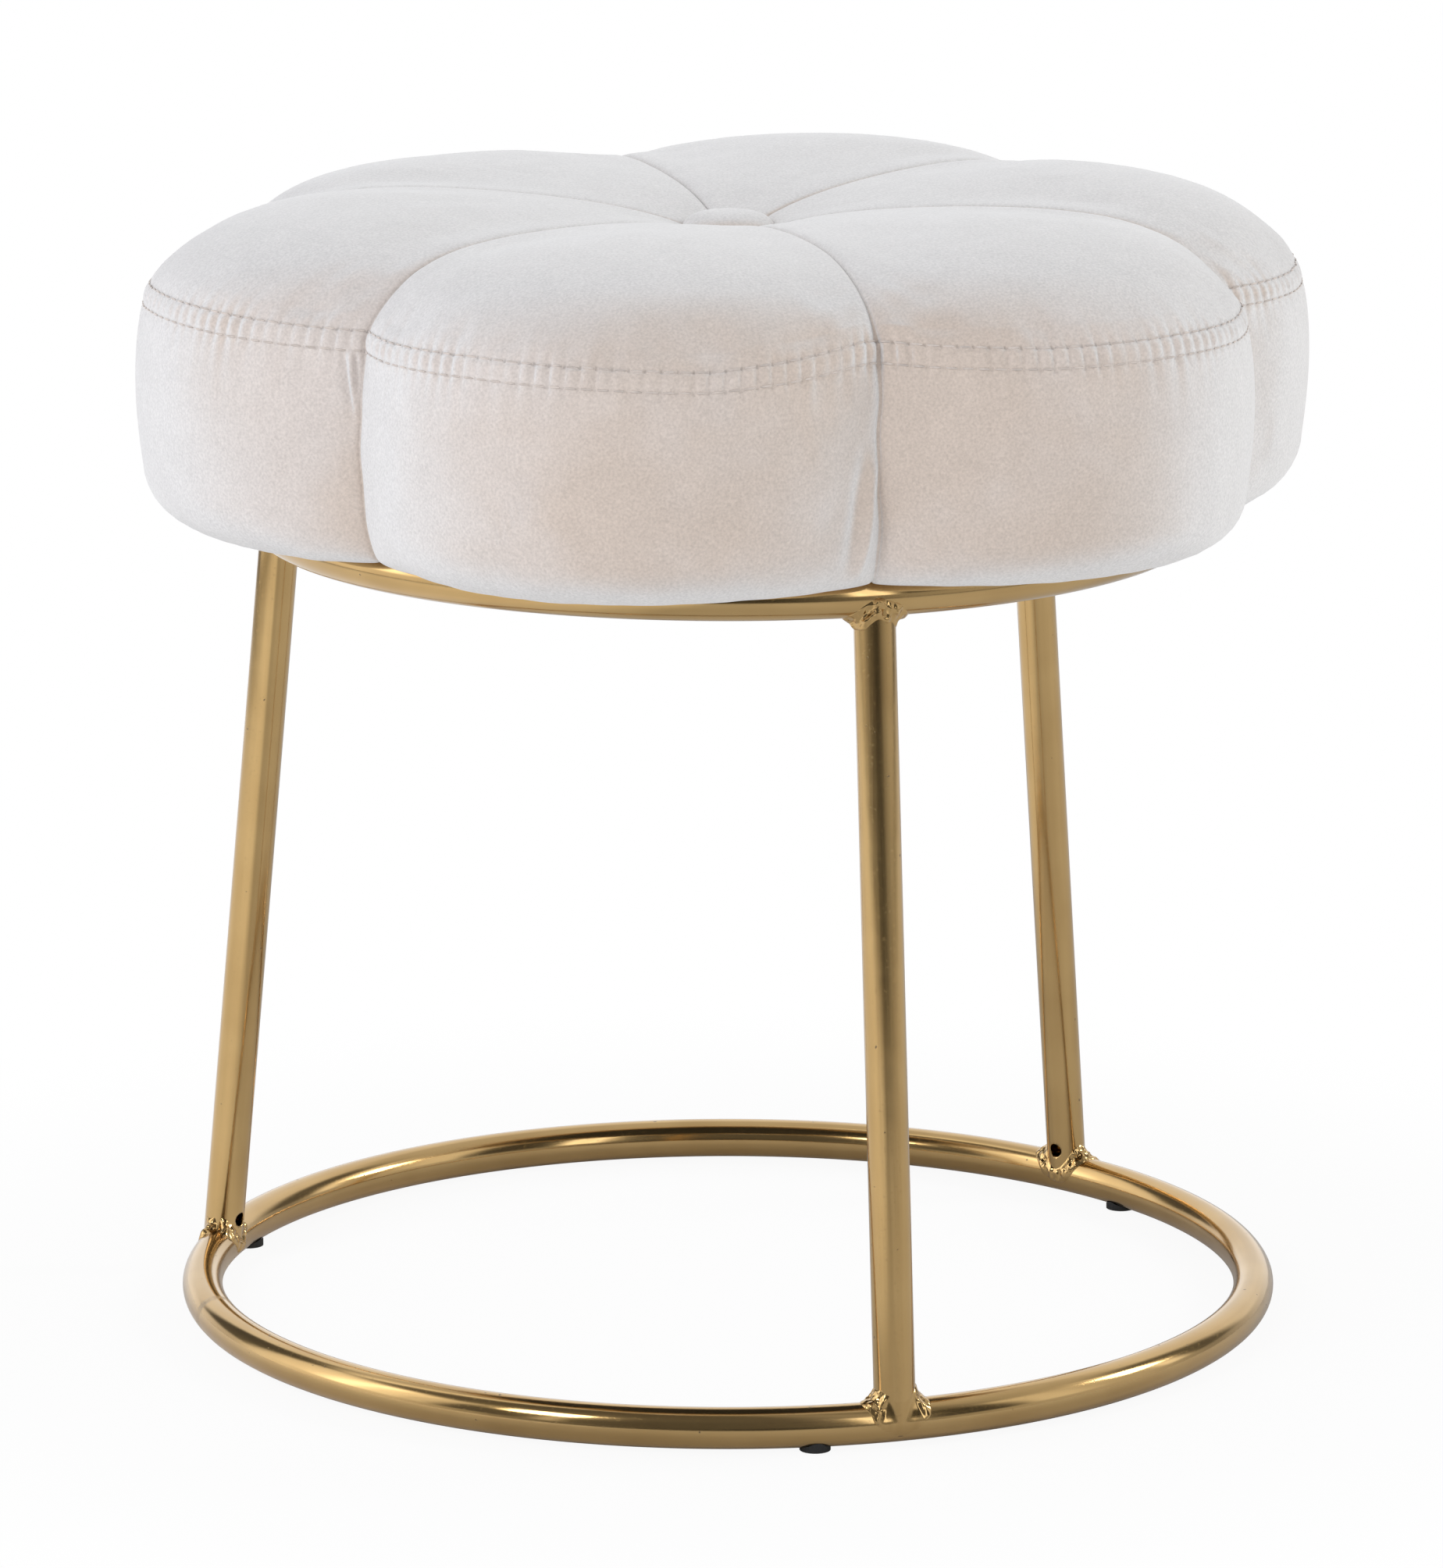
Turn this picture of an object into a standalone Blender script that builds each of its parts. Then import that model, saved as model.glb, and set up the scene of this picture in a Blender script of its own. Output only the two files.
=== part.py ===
"""Vanity stool: a six-petal cushion with a centre button, on a welded frame of bent steel tube.

Lengths are in metres and angles in radians. +Z is up, and the origin is on the floor, under the
button. The legs stand below alternate notches of the cushion, the first one at -Y.
"""

import math

import bmesh
import bpy
from mathutils import Matrix, Vector

# Frame: one size of round tube, a ring on the floor, a smaller ring under the seat, three legs.
# Insets of the seat's hidden pieces are counted from the line of the top ring's tube.
TUBE_DIAMETER = 0.016
TUBE_WALL = 0.0012
BASE_RING_DIAMETER = 0.424
TOP_RING_INSET = 0.0146
SEAT_PLANE_HEIGHT = 0.3323
LEG_COUNT = 3
FIRST_LEG_ANGLE = math.radians(-90)
VENT_DIAMETER = 0.0055
VENT_HEIGHT = 0.012
WELD_SIZE = 0.003
WELD_ROOT_SIZE = 0.0012

# Floor glides: plugs in holes of the base ring, a little past each leg
GLIDE_DIAMETER = 0.012
GLIDE_PROUD = 0.0012
GLIDE_STEM_DIAMETER = 0.005
GLIDE_STEM_REACH = 0.004
GLIDE_LAG_ANGLE = math.radians(-8.5)

# Mounting tabs inside the top ring, midway between the legs, each with one screw
TAB_WIDTH = 0.026
TAB_THICKNESS = 0.0025
TAB_HOLE_DIAMETER = 0.0068
SCREW_INSET = 0.0305
SCREW_DIAMETER = 0.006
SCREW_HEAD_DIAMETER = 0.0105
SCREW_HEAD_HEIGHT = 0.0033
SCREW_SOCKET_WIDTH = 0.004
SCREW_SOCKET_DEPTH = 0.002
WASHER_DIAMETER = 0.014
WASHER_THICKNESS = 0.0015

# Tee nuts sunk in the seat board
TEE_FLANGE_DIAMETER = 0.019
TEE_FLANGE_THICKNESS = 0.0012
TEE_BARREL_DIAMETER = 0.0082
TEE_BARREL_LENGTH = 0.009

# Seat: petal outline at the seam, board, foam and cover
PETAL_COUNT = 6
SEAT_TIP_RADIUS = 0.2302
NOTCH_DEPTH = 0.0331
BOXING_HEIGHT = 0.088
EDGE_DROOP = 0.0055
EDGE_RADIUS = 0.0235
NOTCH_EDGE_MARGIN = 0.004
TIP_BULGE = 0.006
NOTCH_BULGE = 0.0046
PETAL_RISE = 0.0322
CHANNEL_RISE = 0.0287
DIMPLE_DEPTH = 0.019
DIMPLE_REACH = 0.036
COVER_THICKNESS = 0.0015
COVER_TURN_UNDER = 0.0175
BOARD_THICKNESS = 0.012
BOARD_INSET = 0.022
DUST_COVER_INSET = 0.0105
DUST_COVER_THICKNESS = 0.0005

# Button and its twine
BUTTON_DIAMETER = 0.036
BUTTON_RIM = 0.002
BUTTON_CROWN = 0.0025
TWINE_DIAMETER = 0.0015
TWINE_BEND_RADIUS = 0.0035
TWINE_TAIL = 0.03
COVER_HOLE_DIAMETER = 0.005
FOAM_HOLE_DIAMETER = 0.008
BOARD_HOLE_DIAMETER = 0.008

# Fits: the least gap between two pieces, how far a cutter runs on, and the merge distance
CLEARANCE = 0.0003
OVERRUN = 0.002
MERGE_DISTANCE = 0.00001

# Shares that shape the cushion: rows from the button hole to the seam, rows down the side,
# and columns from one notch to the next
TOP_SHARES = (0, 0.08, 0.2, 0.38, 0.58, 0.76, 0.89, 0.965, 1)
SIDE_SHARES = (0.16, 0.38, 0.6)
CORNER_ANGLES = (0, math.radians(45), math.radians(90))
PETAL_SHARES = (-1, -0.8, -0.4, 0, 0.4, 0.8)
CROWN_POWER = 7.7
CROWN_EDGE_POWER = 0.89
BULGE_POWER = 0.76
SWELL_POWER = 0.8
SWELL_START_SHARE = 0.6

# Shares that shape the small pieces: the welds' seat in their corner and their ripple, the screw
# heads, and the button's dome (radius and height) and back
CORNER_SHARE = 0.35
RIPPLE_SHARE = 0.08
HEAD_DOME_SHARE = 0.6
HEAD_FLAT_SHARE = 0.6
DOME_SHARES = ((0.45, 0.85), (0.75, 0.55), (0.93, 0.22))
BACK_SHARE = 0.93

# Facets
RING_STEPS = 72
TUBE_STEPS = 14
BORE_STEPS = 8
LEG_STEPS = 24
HOLE_STEPS = 16
VENT_STEPS = 15
TURNED_STEPS = 24
WELD_POINTS = 24
BEND_STEPS = 5

# Worked out from the sizes above
TUBE_RADIUS = TUBE_DIAMETER / 2
BORE_RADIUS = TUBE_RADIUS - TUBE_WALL
SEAT_RADIUS_ON_TUBE = TUBE_RADIUS + CLEARANCE
BASE_RING_RADIUS = BASE_RING_DIAMETER / 2
SEAT_NOTCH_RADIUS = SEAT_TIP_RADIUS - NOTCH_DEPTH
TOP_RING_RADIUS = SEAT_NOTCH_RADIUS - TOP_RING_INSET
BASE_RING_HEIGHT = GLIDE_PROUD + TUBE_RADIUS
TOP_RING_HEIGHT = SEAT_PLANE_HEIGHT - TUBE_RADIUS
HALF_PETAL = math.pi / PETAL_COUNT
UNDERSIDE_HEIGHT = SEAT_PLANE_HEIGHT + CLEARANCE
SEAM_HEIGHT = UNDERSIDE_HEIGHT + BOXING_HEIGHT
LOW_EDGE_HEIGHT = UNDERSIDE_HEIGHT - EDGE_DROOP
BOARD_BOTTOM = UNDERSIDE_HEIGHT + COVER_THICKNESS + CLEARANCE
BOARD_TOP = BOARD_BOTTOM + BOARD_THICKNESS
DUST_COVER_TOP = UNDERSIDE_HEIGHT - CLEARANCE
TAB_TOP = DUST_COVER_TOP - DUST_COVER_THICKNESS - CLEARANCE
TAB_BOTTOM = TAB_TOP - TAB_THICKNESS
WASHER_TOP = TAB_BOTTOM - CLEARANCE
SCREW_HEAD_TOP = WASHER_TOP - WASHER_THICKNESS - CLEARANCE
SCREW_CIRCLE_RADIUS = TOP_RING_RADIUS - SCREW_INSET


def clear_scene():
    for item in list(bpy.data.objects):
        bpy.data.objects.remove(item, do_unlink=True)


def new_collection(name, shown=True):
    collection = bpy.data.collections.new(name)
    bpy.context.scene.collection.children.link(collection)
    collection.hide_render = not shown
    return collection


def new_material(name, colour, roughness, metallic=0.0):
    material = bpy.data.materials.new(name)
    material.use_nodes = True
    shader = material.node_tree.nodes["Principled BSDF"]
    shader.inputs["Base Color"].default_value = (*colour, 1.0)
    shader.inputs["Roughness"].default_value = roughness
    shader.inputs["Metallic"].default_value = metallic
    material.diffuse_color = (*colour, 1.0)
    return material


def place(name, mesh, matrix=None, material=None):
    """Adds a mesh as a named object: a piece where it has a material, otherwise a cutter."""
    item = bpy.data.objects.new(name, mesh)
    item.matrix_world = matrix or Matrix.Identity(4)
    if material:
        mesh.materials.append(material)
        mesh.shade_smooth()
        mesh.set_sharp_from_angle(angle=math.radians(35))
        pieces.objects.link(item)
    else:
        cutters.objects.link(item)
        item.hide_render = True
        item.display_type = "WIRE"
    return item


def mesh_from(bm, name):
    mesh = bpy.data.meshes.new(name)
    bm.to_mesh(mesh)
    bm.free()
    return mesh


def boolean(target, other, operation="DIFFERENCE"):
    modifier = target.modifiers.new(f"{operation.lower()} {other.name}", "BOOLEAN")
    modifier.operation = operation
    modifier.solver = "EXACT"
    modifier.object = other


def rod(name, radius, low, high, steps):
    """A round rod on +Z, from the height low to the height high."""
    bm = bmesh.new()
    bmesh.ops.create_cone(
        bm, cap_ends=True, segments=steps, radius1=radius, radius2=radius, depth=high - low
    )
    bmesh.ops.translate(bm, vec=(0, 0, (low + high) / 2), verts=bm.verts)
    return mesh_from(bm, name)


def torus(name, ring_radius, tube_radius, height, tube_steps, material=None):
    bpy.ops.mesh.primitive_torus_add(
        major_segments=RING_STEPS,
        minor_segments=tube_steps,
        major_radius=ring_radius,
        minor_radius=tube_radius,
    )
    made = bpy.context.object
    mesh = made.data
    mesh.name = name
    bpy.data.objects.remove(made)
    return place(name, mesh, Matrix.Translation((0, 0, height)), material)


def turned(name, profile, matrix, material=None, ring=False):
    """A turned piece: radius and height pairs down its outer side, and back up the bore of a ring."""
    bm = bmesh.new()
    points = [bm.verts.new((radius, 0, height)) for radius, height in profile]
    for first, second in zip(points, points[1:]):
        bm.edges.new((first, second))
    if ring:
        bm.edges.new((points[-1], points[0]))
    item = place(name, mesh_from(bm, name), matrix, material)
    screw = item.modifiers.new("turn", "SCREW")
    screw.steps = TURNED_STEPS
    screw.render_steps = TURNED_STEPS
    screw.use_merge_vertices = True
    screw.merge_threshold = MERGE_DISTANCE
    screw.use_smooth_shade = True
    return item


def prism(name, outline, low, high, matrix=None, material=None):
    """An upright prism on an outline of X and Y pairs."""
    bm = bmesh.new()
    face = bm.faces.new([bm.verts.new((x, y, low)) for x, y in outline])
    grown = bmesh.ops.extrude_face_region(bm, geom=[face])
    top = [part for part in grown["geom"] if isinstance(part, bmesh.types.BMVert)]
    bmesh.ops.translate(bm, vec=(0, 0, high - low), verts=top)
    bmesh.ops.recalc_face_normals(bm, faces=bm.faces)
    return place(name, mesh_from(bm, name), matrix, material)


def tube_along(name, points, radius, resolution, material=None, closed=False, swells=None):
    """A round rod along a smooth run of points. A piece stays a curve; a cutter is made a mesh."""
    curve = bpy.data.curves.new(name, "CURVE")
    curve.dimensions = "3D"
    curve.bevel_depth = radius
    curve.bevel_resolution = resolution
    curve.use_fill_caps = True
    spline = curve.splines.new("POLY")
    spline.points.add(len(points) - 1)
    for index, point in enumerate(points):
        spline.points[index].co = (*point, 1)
        spline.points[index].radius = swells[index] if swells else 1
    spline.use_cyclic_u = closed
    item = bpy.data.objects.new(name, curve)
    if material:
        curve.materials.append(material)
        pieces.objects.link(item)
        return item
    cutters.objects.link(item)
    bpy.context.view_layer.update()
    evaluated = item.evaluated_get(bpy.context.evaluated_depsgraph_get())
    mesh = bpy.data.meshes.new_from_object(evaluated)
    bpy.data.objects.remove(item)
    bm = bmesh.new()
    bm.from_mesh(mesh)
    bmesh.ops.remove_doubles(bm, verts=bm.verts, dist=MERGE_DISTANCE)
    bm.to_mesh(mesh)
    bm.free()
    return place(name, mesh)


def turn_to(angle):
    return Matrix.Rotation(angle, 4, "Z")


def leg_angle(index):
    return FIRST_LEG_ANGLE + 2 * math.pi * index / LEG_COUNT


def tab_angle(index):
    return leg_angle(index) + math.pi / LEG_COUNT


def leg_matrix(angle):
    """Puts the leg's own +Z on its centreline, from the base ring's tube centre to the top ring's."""
    inward = TOP_RING_RADIUS - BASE_RING_RADIUS
    lean = math.atan2(inward, TOP_RING_HEIGHT - BASE_RING_HEIGHT)
    foot = Matrix.Translation((BASE_RING_RADIUS, 0, BASE_RING_HEIGHT))
    return turn_to(angle) @ foot @ Matrix.Rotation(lean, 4, "Y")


def leg_length():
    inward = TOP_RING_RADIUS - BASE_RING_RADIUS
    return math.hypot(inward, TOP_RING_HEIGHT - BASE_RING_HEIGHT)


def weld_path(foot, direction):
    """The seam where a leg saddles a ring, and how fat the bead is at each of its points."""
    points = []
    swells = []
    for index in range(WELD_POINTS):
        turn = 2 * math.pi * index / WELD_POINTS
        crotch = abs(math.cos(turn))
        swell = WELD_ROOT_SIZE + (WELD_SIZE - WELD_ROOT_SIZE) * crotch
        out = TUBE_RADIUS + swell * CORNER_SHARE
        rise = math.hypot(TUBE_RADIUS * math.cos(turn), WELD_ROOT_SIZE) + swell * CORNER_SHARE
        ripple = 1 + RIPPLE_SHARE * (-1) ** index
        points.append(
            (out * math.sin(turn), out * math.cos(turn), foot + direction * rise)
        )
        swells.append(ripple * swell / WELD_SIZE)
    return points, swells


def petal_radius(turn):
    """The lobed outline at the seam, for an angle counted from a petal's middle."""
    tip, notch = SEAT_TIP_RADIUS, SEAT_NOTCH_RADIUS
    centre = (tip**2 - notch**2) / (2 * (tip - notch * math.cos(HALF_PETAL)))
    lobe = tip - centre
    return centre * math.cos(turn) + math.sqrt(lobe**2 - (centre * math.sin(turn)) ** 2)


def swell_at(turn):
    """One on a petal's middle, falling to zero at the channels beside it."""
    return max(0, 1 - (turn / HALF_PETAL) ** 2) ** SWELL_POWER


def top_height(reach, radius, swell):
    """Height of the cushion's top at a share of the way to the seam."""
    spread = min(1, reach / SWELL_START_SHARE)
    rise = CHANNEL_RISE + (PETAL_RISE - CHANNEL_RISE) * swell * spread
    crown = (1 - reach**CROWN_POWER) ** CROWN_EDGE_POWER
    return SEAM_HEIGHT + rise * crown - DIMPLE_DEPTH * math.exp(-radius / DIMPLE_REACH)


def rest_corner():
    """Where the underside leaves the top ring, on the line that clears the tube to the notch's edge."""
    out = notch_low_radius() - TOP_RING_RADIUS
    up = LOW_EDGE_HEIGHT - TOP_RING_HEIGHT
    touch = math.atan2(up, out) + math.acos(SEAT_RADIUS_ON_TUBE / math.hypot(out, up))
    return TOP_RING_RADIUS + SEAT_RADIUS_ON_TUBE * math.tan((math.pi / 2 - touch) / 2)


def notch_low_radius():
    return TOP_RING_RADIUS + TUBE_RADIUS + NOTCH_EDGE_MARGIN


def cover_section(turn):
    """Radius and height of each row of the cover's outer face at one angle of a petal."""
    seam = petal_radius(turn)
    swell = swell_at(turn)
    hole = COVER_HOLE_DIAMETER / 2
    rows = []
    for reach in TOP_SHARES:
        radius = hole + reach * (seam - hole)
        rows.append((radius, top_height(reach, radius, swell)))
    bulge = NOTCH_BULGE + (TIP_BULGE - NOTCH_BULGE) * swell
    drop = SEAM_HEIGHT - LOW_EDGE_HEIGHT
    corner_share = 1 - EDGE_RADIUS / drop
    for share in (*SIDE_SHARES, corner_share):
        radius = seam + bulge * math.sin(math.pi * share**BULGE_POWER)
        rows.append((radius, SEAM_HEIGHT - drop * share))
    side = rows.pop()[0]
    along = (seam - SEAT_NOTCH_RADIUS) / (SEAT_TIP_RADIUS - SEAT_NOTCH_RADIUS)
    low_tip = SEAT_TIP_RADIUS - EDGE_RADIUS
    low = notch_low_radius() + along * (low_tip - notch_low_radius())
    for angle in CORNER_ANGLES:
        radius = low + (side - low) * math.cos(angle)
        rows.append((radius, LOW_EDGE_HEIGHT + EDGE_RADIUS * (1 - math.sin(angle))))
    rows.append((rest_corner() * facet_spread(), UNDERSIDE_HEIGHT))
    rows.append((TOP_RING_RADIUS - COVER_TURN_UNDER, UNDERSIDE_HEIGHT))
    return rows


def facet_spread():
    """How much further out a corner lies than the flat between two corners."""
    widest = max(b - a for a, b in zip(PETAL_SHARES, PETAL_SHARES[1:]))
    return 1 / math.cos(widest * HALF_PETAL / 2)


def cover_surface():
    """The cover's outer face: a grid wrapped round the axis, its rows from the button hole down."""
    columns = PETAL_COUNT * len(PETAL_SHARES)
    rows = len(cover_section(0)) - 1
    bm = bmesh.new()
    bmesh.ops.create_grid(bm, x_segments=columns, y_segments=rows, size=1)
    for vert in bm.verts:
        column = round((vert.co.x + 1) / 2 * columns) % columns
        row = round((1 - vert.co.y) / 2 * rows)
        petal, step = divmod(column, len(PETAL_SHARES))
        turn = PETAL_SHARES[step] * HALF_PETAL
        radius, height = cover_section(turn)[row]
        angle = 2 * HALF_PETAL * petal + turn
        vert.co = (radius * math.cos(angle), radius * math.sin(angle), height)
    bmesh.ops.remove_doubles(bm, verts=bm.verts, dist=MERGE_DISTANCE)
    return bm


def board_outline(inset):
    outline = []
    for petal in range(PETAL_COUNT):
        for share in PETAL_SHARES:
            turn = share * HALF_PETAL
            angle = 2 * HALF_PETAL * petal + turn
            radius = petal_radius(turn) - inset
            outline.append((radius * math.cos(angle), radius * math.sin(angle)))
    return outline


def make_rings(gold):
    """Both rings, hollow, with a vent inside each leg's foot and holes for the glides' stems."""
    base = torus("base_ring", BASE_RING_RADIUS, TUBE_RADIUS, BASE_RING_HEIGHT, TUBE_STEPS, gold)
    top = torus("top_ring", TOP_RING_RADIUS, TUBE_RADIUS, TOP_RING_HEIGHT, TUBE_STEPS, gold)
    base_bore = torus("base_bore", BASE_RING_RADIUS, BORE_RADIUS, BASE_RING_HEIGHT, BORE_STEPS)
    top_bore = torus("top_bore", TOP_RING_RADIUS, BORE_RADIUS, TOP_RING_HEIGHT, BORE_STEPS)
    boolean(base, base_bore)
    boolean(top, top_bore)
    vent = VENT_DIAMETER / 2
    through = TUBE_RADIUS + OVERRUN
    for index in range(LEG_COUNT):
        matrix = leg_matrix(leg_angle(index))
        low = place(f"base_vent_{index + 1}", rod("base_vent", vent, 0, through, VENT_STEPS), matrix)
        length = leg_length()
        high_rod = rod("top_vent", vent, length - through, length, VENT_STEPS)
        high = place(f"top_vent_{index + 1}", high_rod, matrix)
        boolean(base, low)
        boolean(top, high)
        hole = GLIDE_STEM_DIAMETER / 2 + CLEARANCE
        stem_hole = rod("glide_hole", hole, -OVERRUN, BASE_RING_HEIGHT, HOLE_STEPS)
        spot = turn_to(leg_angle(index) + GLIDE_LAG_ANGLE)
        spot = spot @ Matrix.Translation((BASE_RING_RADIUS, 0, 0))
        boolean(base, place(f"glide_hole_{index + 1}", stem_hole, spot))


def make_glides(black, base_seat):
    stem_top = GLIDE_PROUD + TUBE_WALL + GLIDE_STEM_REACH
    for index in range(LEG_COUNT):
        spot = turn_to(leg_angle(index) + GLIDE_LAG_ANGLE)
        spot = spot @ Matrix.Translation((BASE_RING_RADIUS, 0, 0))
        head = rod("glide_head", GLIDE_DIAMETER / 2, 0, BASE_RING_HEIGHT, TURNED_STEPS)
        glide = place(f"floor_glide_{index + 1}", head, spot, black)
        foot = (GLIDE_PROUD - CLEARANCE) / 2
        stem = rod("glide_stem", GLIDE_STEM_DIAMETER / 2, foot, stem_top, HOLE_STEPS)
        boolean(glide, base_seat)
        boolean(glide, place(f"glide_stem_{index + 1}", stem, spot), "UNION")


def make_legs(gold, base_seat, top_seat):
    """Each leg is a tube coped over both rings, with a bead of weld at each end and a vent."""
    length = leg_length()
    for index, name in enumerate(("leg_front", "leg_right", "leg_left")):
        matrix = leg_matrix(leg_angle(index))
        leg = place(name, rod(name, TUBE_RADIUS, 0, length, LEG_STEPS), matrix, gold)
        for end, foot, direction in (("foot", 0, 1), ("head", length, -1)):
            points, swells = weld_path(foot, direction)
            bead = tube_along(f"{name}_{end}_weld", points, WELD_SIZE, 1, None, True, swells)
            bead.matrix_world = matrix
            boolean(leg, bead, "UNION")
        bore = rod("leg_bore", BORE_RADIUS, -OVERRUN, length + OVERRUN, LEG_STEPS)
        boolean(leg, place(f"{name}_bore", bore, matrix))
        boolean(leg, base_seat)
        boolean(leg, top_seat)
        vent_rod = rod("leg_vent", VENT_DIAMETER / 2, 0, TUBE_RADIUS + OVERRUN, VENT_STEPS)
        inward = Matrix.Translation((0, 0, VENT_HEIGHT)) @ Matrix.Rotation(-math.pi / 2, 4, "Y")
        boolean(leg, place(f"{name}_vent", vent_rod, matrix @ inward))


def make_tabs(gold, top_seat):
    """Flat tabs welded inside the top ring, round at the inner end, each drilled for its screw."""
    hole = rod("tab_hole", TAB_HOLE_DIAMETER / 2, TAB_BOTTOM - OVERRUN, TAB_TOP + OVERRUN, HOLE_STEPS)
    half = TAB_WIDTH / 2
    outline = [(TOP_RING_RADIUS, -half), (TOP_RING_RADIUS, half)]
    for step in range(HOLE_STEPS + 1):
        turn = math.pi / 2 + math.pi * step / HOLE_STEPS
        outline.append((SCREW_CIRCLE_RADIUS + half * math.cos(turn), half * math.sin(turn)))
    for index in range(LEG_COUNT):
        spot = turn_to(tab_angle(index))
        tab = prism(f"mounting_tab_{index + 1}", outline, TAB_BOTTOM, TAB_TOP, spot, gold)
        boolean(tab, top_seat)
        drilled = spot @ Matrix.Translation((SCREW_CIRCLE_RADIUS, 0, 0))
        boolean(tab, place(f"tab_hole_{index + 1}", hole.copy(), drilled))


def ring_profile(inner, outer, low, high):
    return [(outer, high), (outer, low), (inner, low), (inner, high)]


def make_fasteners(steel):
    """A tee nut in the board above each tab, and the screw and washer that come up through it."""
    thread = SCREW_DIAMETER / 2
    bore = thread + CLEARANCE
    flange_low = BOARD_TOP - TEE_FLANGE_THICKNESS
    barrel_low = flange_low - TEE_BARREL_LENGTH
    nut = [
        (TEE_FLANGE_DIAMETER / 2, BOARD_TOP),
        (TEE_FLANGE_DIAMETER / 2, flange_low),
        (TEE_BARREL_DIAMETER / 2, flange_low),
        (TEE_BARREL_DIAMETER / 2, barrel_low),
        (bore, barrel_low),
        (bore, BOARD_TOP),
    ]
    head = SCREW_HEAD_DIAMETER / 2
    head_low = SCREW_HEAD_TOP - SCREW_HEAD_HEIGHT
    dome = SCREW_HEAD_HEIGHT * HEAD_DOME_SHARE
    screw = [
        (0, BOARD_TOP - TEE_FLANGE_THICKNESS),
        (thread, BOARD_TOP - TEE_FLANGE_THICKNESS),
        (thread, SCREW_HEAD_TOP),
        (head, SCREW_HEAD_TOP),
        (head, head_low + dome),
        (head * HEAD_FLAT_SHARE, head_low),
        (0, head_low),
    ]
    washer = ring_profile(
        bore, WASHER_DIAMETER / 2, WASHER_TOP - WASHER_THICKNESS, WASHER_TOP
    )
    socket = rod(
        "socket", SCREW_SOCKET_WIDTH / math.sqrt(3), head_low - OVERRUN, head_low + SCREW_SOCKET_DEPTH, 6
    )
    for index in range(LEG_COUNT):
        spot = turn_to(tab_angle(index)) @ Matrix.Translation((SCREW_CIRCLE_RADIUS, 0, 0))
        turned(f"tee_nut_{index + 1}", nut, spot, steel, ring=True)
        turned(f"screw_washer_{index + 1}", washer, spot, steel, ring=True)
        bolt = turned(f"seat_screw_{index + 1}", screw, spot, steel)
        boolean(bolt, place(f"socket_{index + 1}", socket.copy(), spot))


def make_board(plywood):
    board = prism("seat_board", board_outline(BOARD_INSET), BOARD_BOTTOM, BOARD_TOP, None, plywood)
    low, high = BOARD_BOTTOM - OVERRUN, BOARD_TOP + OVERRUN
    twine_hole = rod("board_twine_hole", BOARD_HOLE_DIAMETER / 2, low, high, HOLE_STEPS)
    boolean(board, place("board_twine_hole", twine_hole))
    seat = TEE_FLANGE_DIAMETER / 2 + CLEARANCE
    seat_low = BOARD_TOP - TEE_FLANGE_THICKNESS - CLEARANCE
    barrel = TEE_BARREL_DIAMETER / 2 + CLEARANCE
    stepped = [(0, high), (seat, high), (seat, seat_low), (barrel, seat_low), (barrel, low), (0, low)]
    for index in range(LEG_COUNT):
        spot = turn_to(tab_angle(index)) @ Matrix.Translation((SCREW_CIRCLE_RADIUS, 0, 0))
        boolean(board, turned(f"tee_hole_{index + 1}", stepped, spot))


def make_dust_cover(black):
    low = DUST_COVER_TOP - DUST_COVER_THICKNESS
    radius = TOP_RING_RADIUS - DUST_COVER_INSET
    sheet = rod("dust_cover", radius, low, DUST_COVER_TOP, RING_STEPS)
    cover = place("dust_cover", sheet, None, black)
    hole = rod("pierced", SCREW_DIAMETER / 2 + CLEARANCE, low - OVERRUN, DUST_COVER_TOP + OVERRUN, HOLE_STEPS)
    for index in range(LEG_COUNT):
        spot = turn_to(tab_angle(index)) @ Matrix.Translation((SCREW_CIRCLE_RADIUS, 0, 0))
        boolean(cover, place(f"pierced_{index + 1}", hole.copy(), spot))


def make_cover(velvet):
    cover = place("seat_cover", mesh_from(cover_surface(), "seat_cover"), None, velvet)
    cloth = cover.modifiers.new("cloth", "SOLIDIFY")
    cloth.thickness = COVER_THICKNESS
    cloth.offset = -1
    cloth.use_even_offset = True


def make_foam(foam):
    """The foam fills the cover and wraps the board's edge, with a pocket for the board."""
    bm = cover_surface()
    bm.normal_update()
    inset = COVER_THICKNESS + CLEARANCE
    moved = [vert.co - vert.normal * inset * vert.calc_shell_factor() for vert in bm.verts]
    for vert, spot in zip(bm.verts, moved):
        vert.co = spot
    open_edges = [edge for edge in bm.edges if edge.is_boundary]
    bmesh.ops.holes_fill(bm, edges=open_edges, sides=0)
    core = place("foam_core", mesh_from(bm, "foam_core"), None, foam)
    low, high = BOARD_BOTTOM - CLEARANCE, BOARD_TOP + CLEARANCE
    pocket = prism("board_pocket", board_outline(BOARD_INSET - CLEARANCE), low, high)
    boolean(core, pocket)
    crown = SEAM_HEIGHT + PETAL_RISE + OVERRUN
    channel = rod("twine_channel", FOAM_HOLE_DIAMETER / 2, BOARD_BOTTOM, crown, HOLE_STEPS)
    boolean(core, place("twine_channel", channel))


def button_underside(radius):
    reach = radius / SEAT_NOTCH_RADIUS
    return top_height(reach, radius, 1) + 2 * CLEARANCE


def make_button(velvet):
    """A covered button whose back is dished to the dimple that it is pulled into."""
    rim = BUTTON_DIAMETER / 2
    hole = COVER_HOLE_DIAMETER / 2
    edge_low = button_underside(rim)
    edge_high = edge_low + BUTTON_RIM
    profile = [(0, edge_high + BUTTON_CROWN)]
    for share, height_share in DOME_SHARES:
        profile.append((rim * share, edge_high + BUTTON_CROWN * height_share))
    profile += [(rim, edge_high), (rim, (edge_low + edge_high) / 2)]
    profile += [(rim * BACK_SHARE, button_underside(rim * BACK_SHARE))]
    profile += [(hole, button_underside(hole)), (0, button_underside(hole))]
    turned("button", profile, None, velvet)


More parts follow.
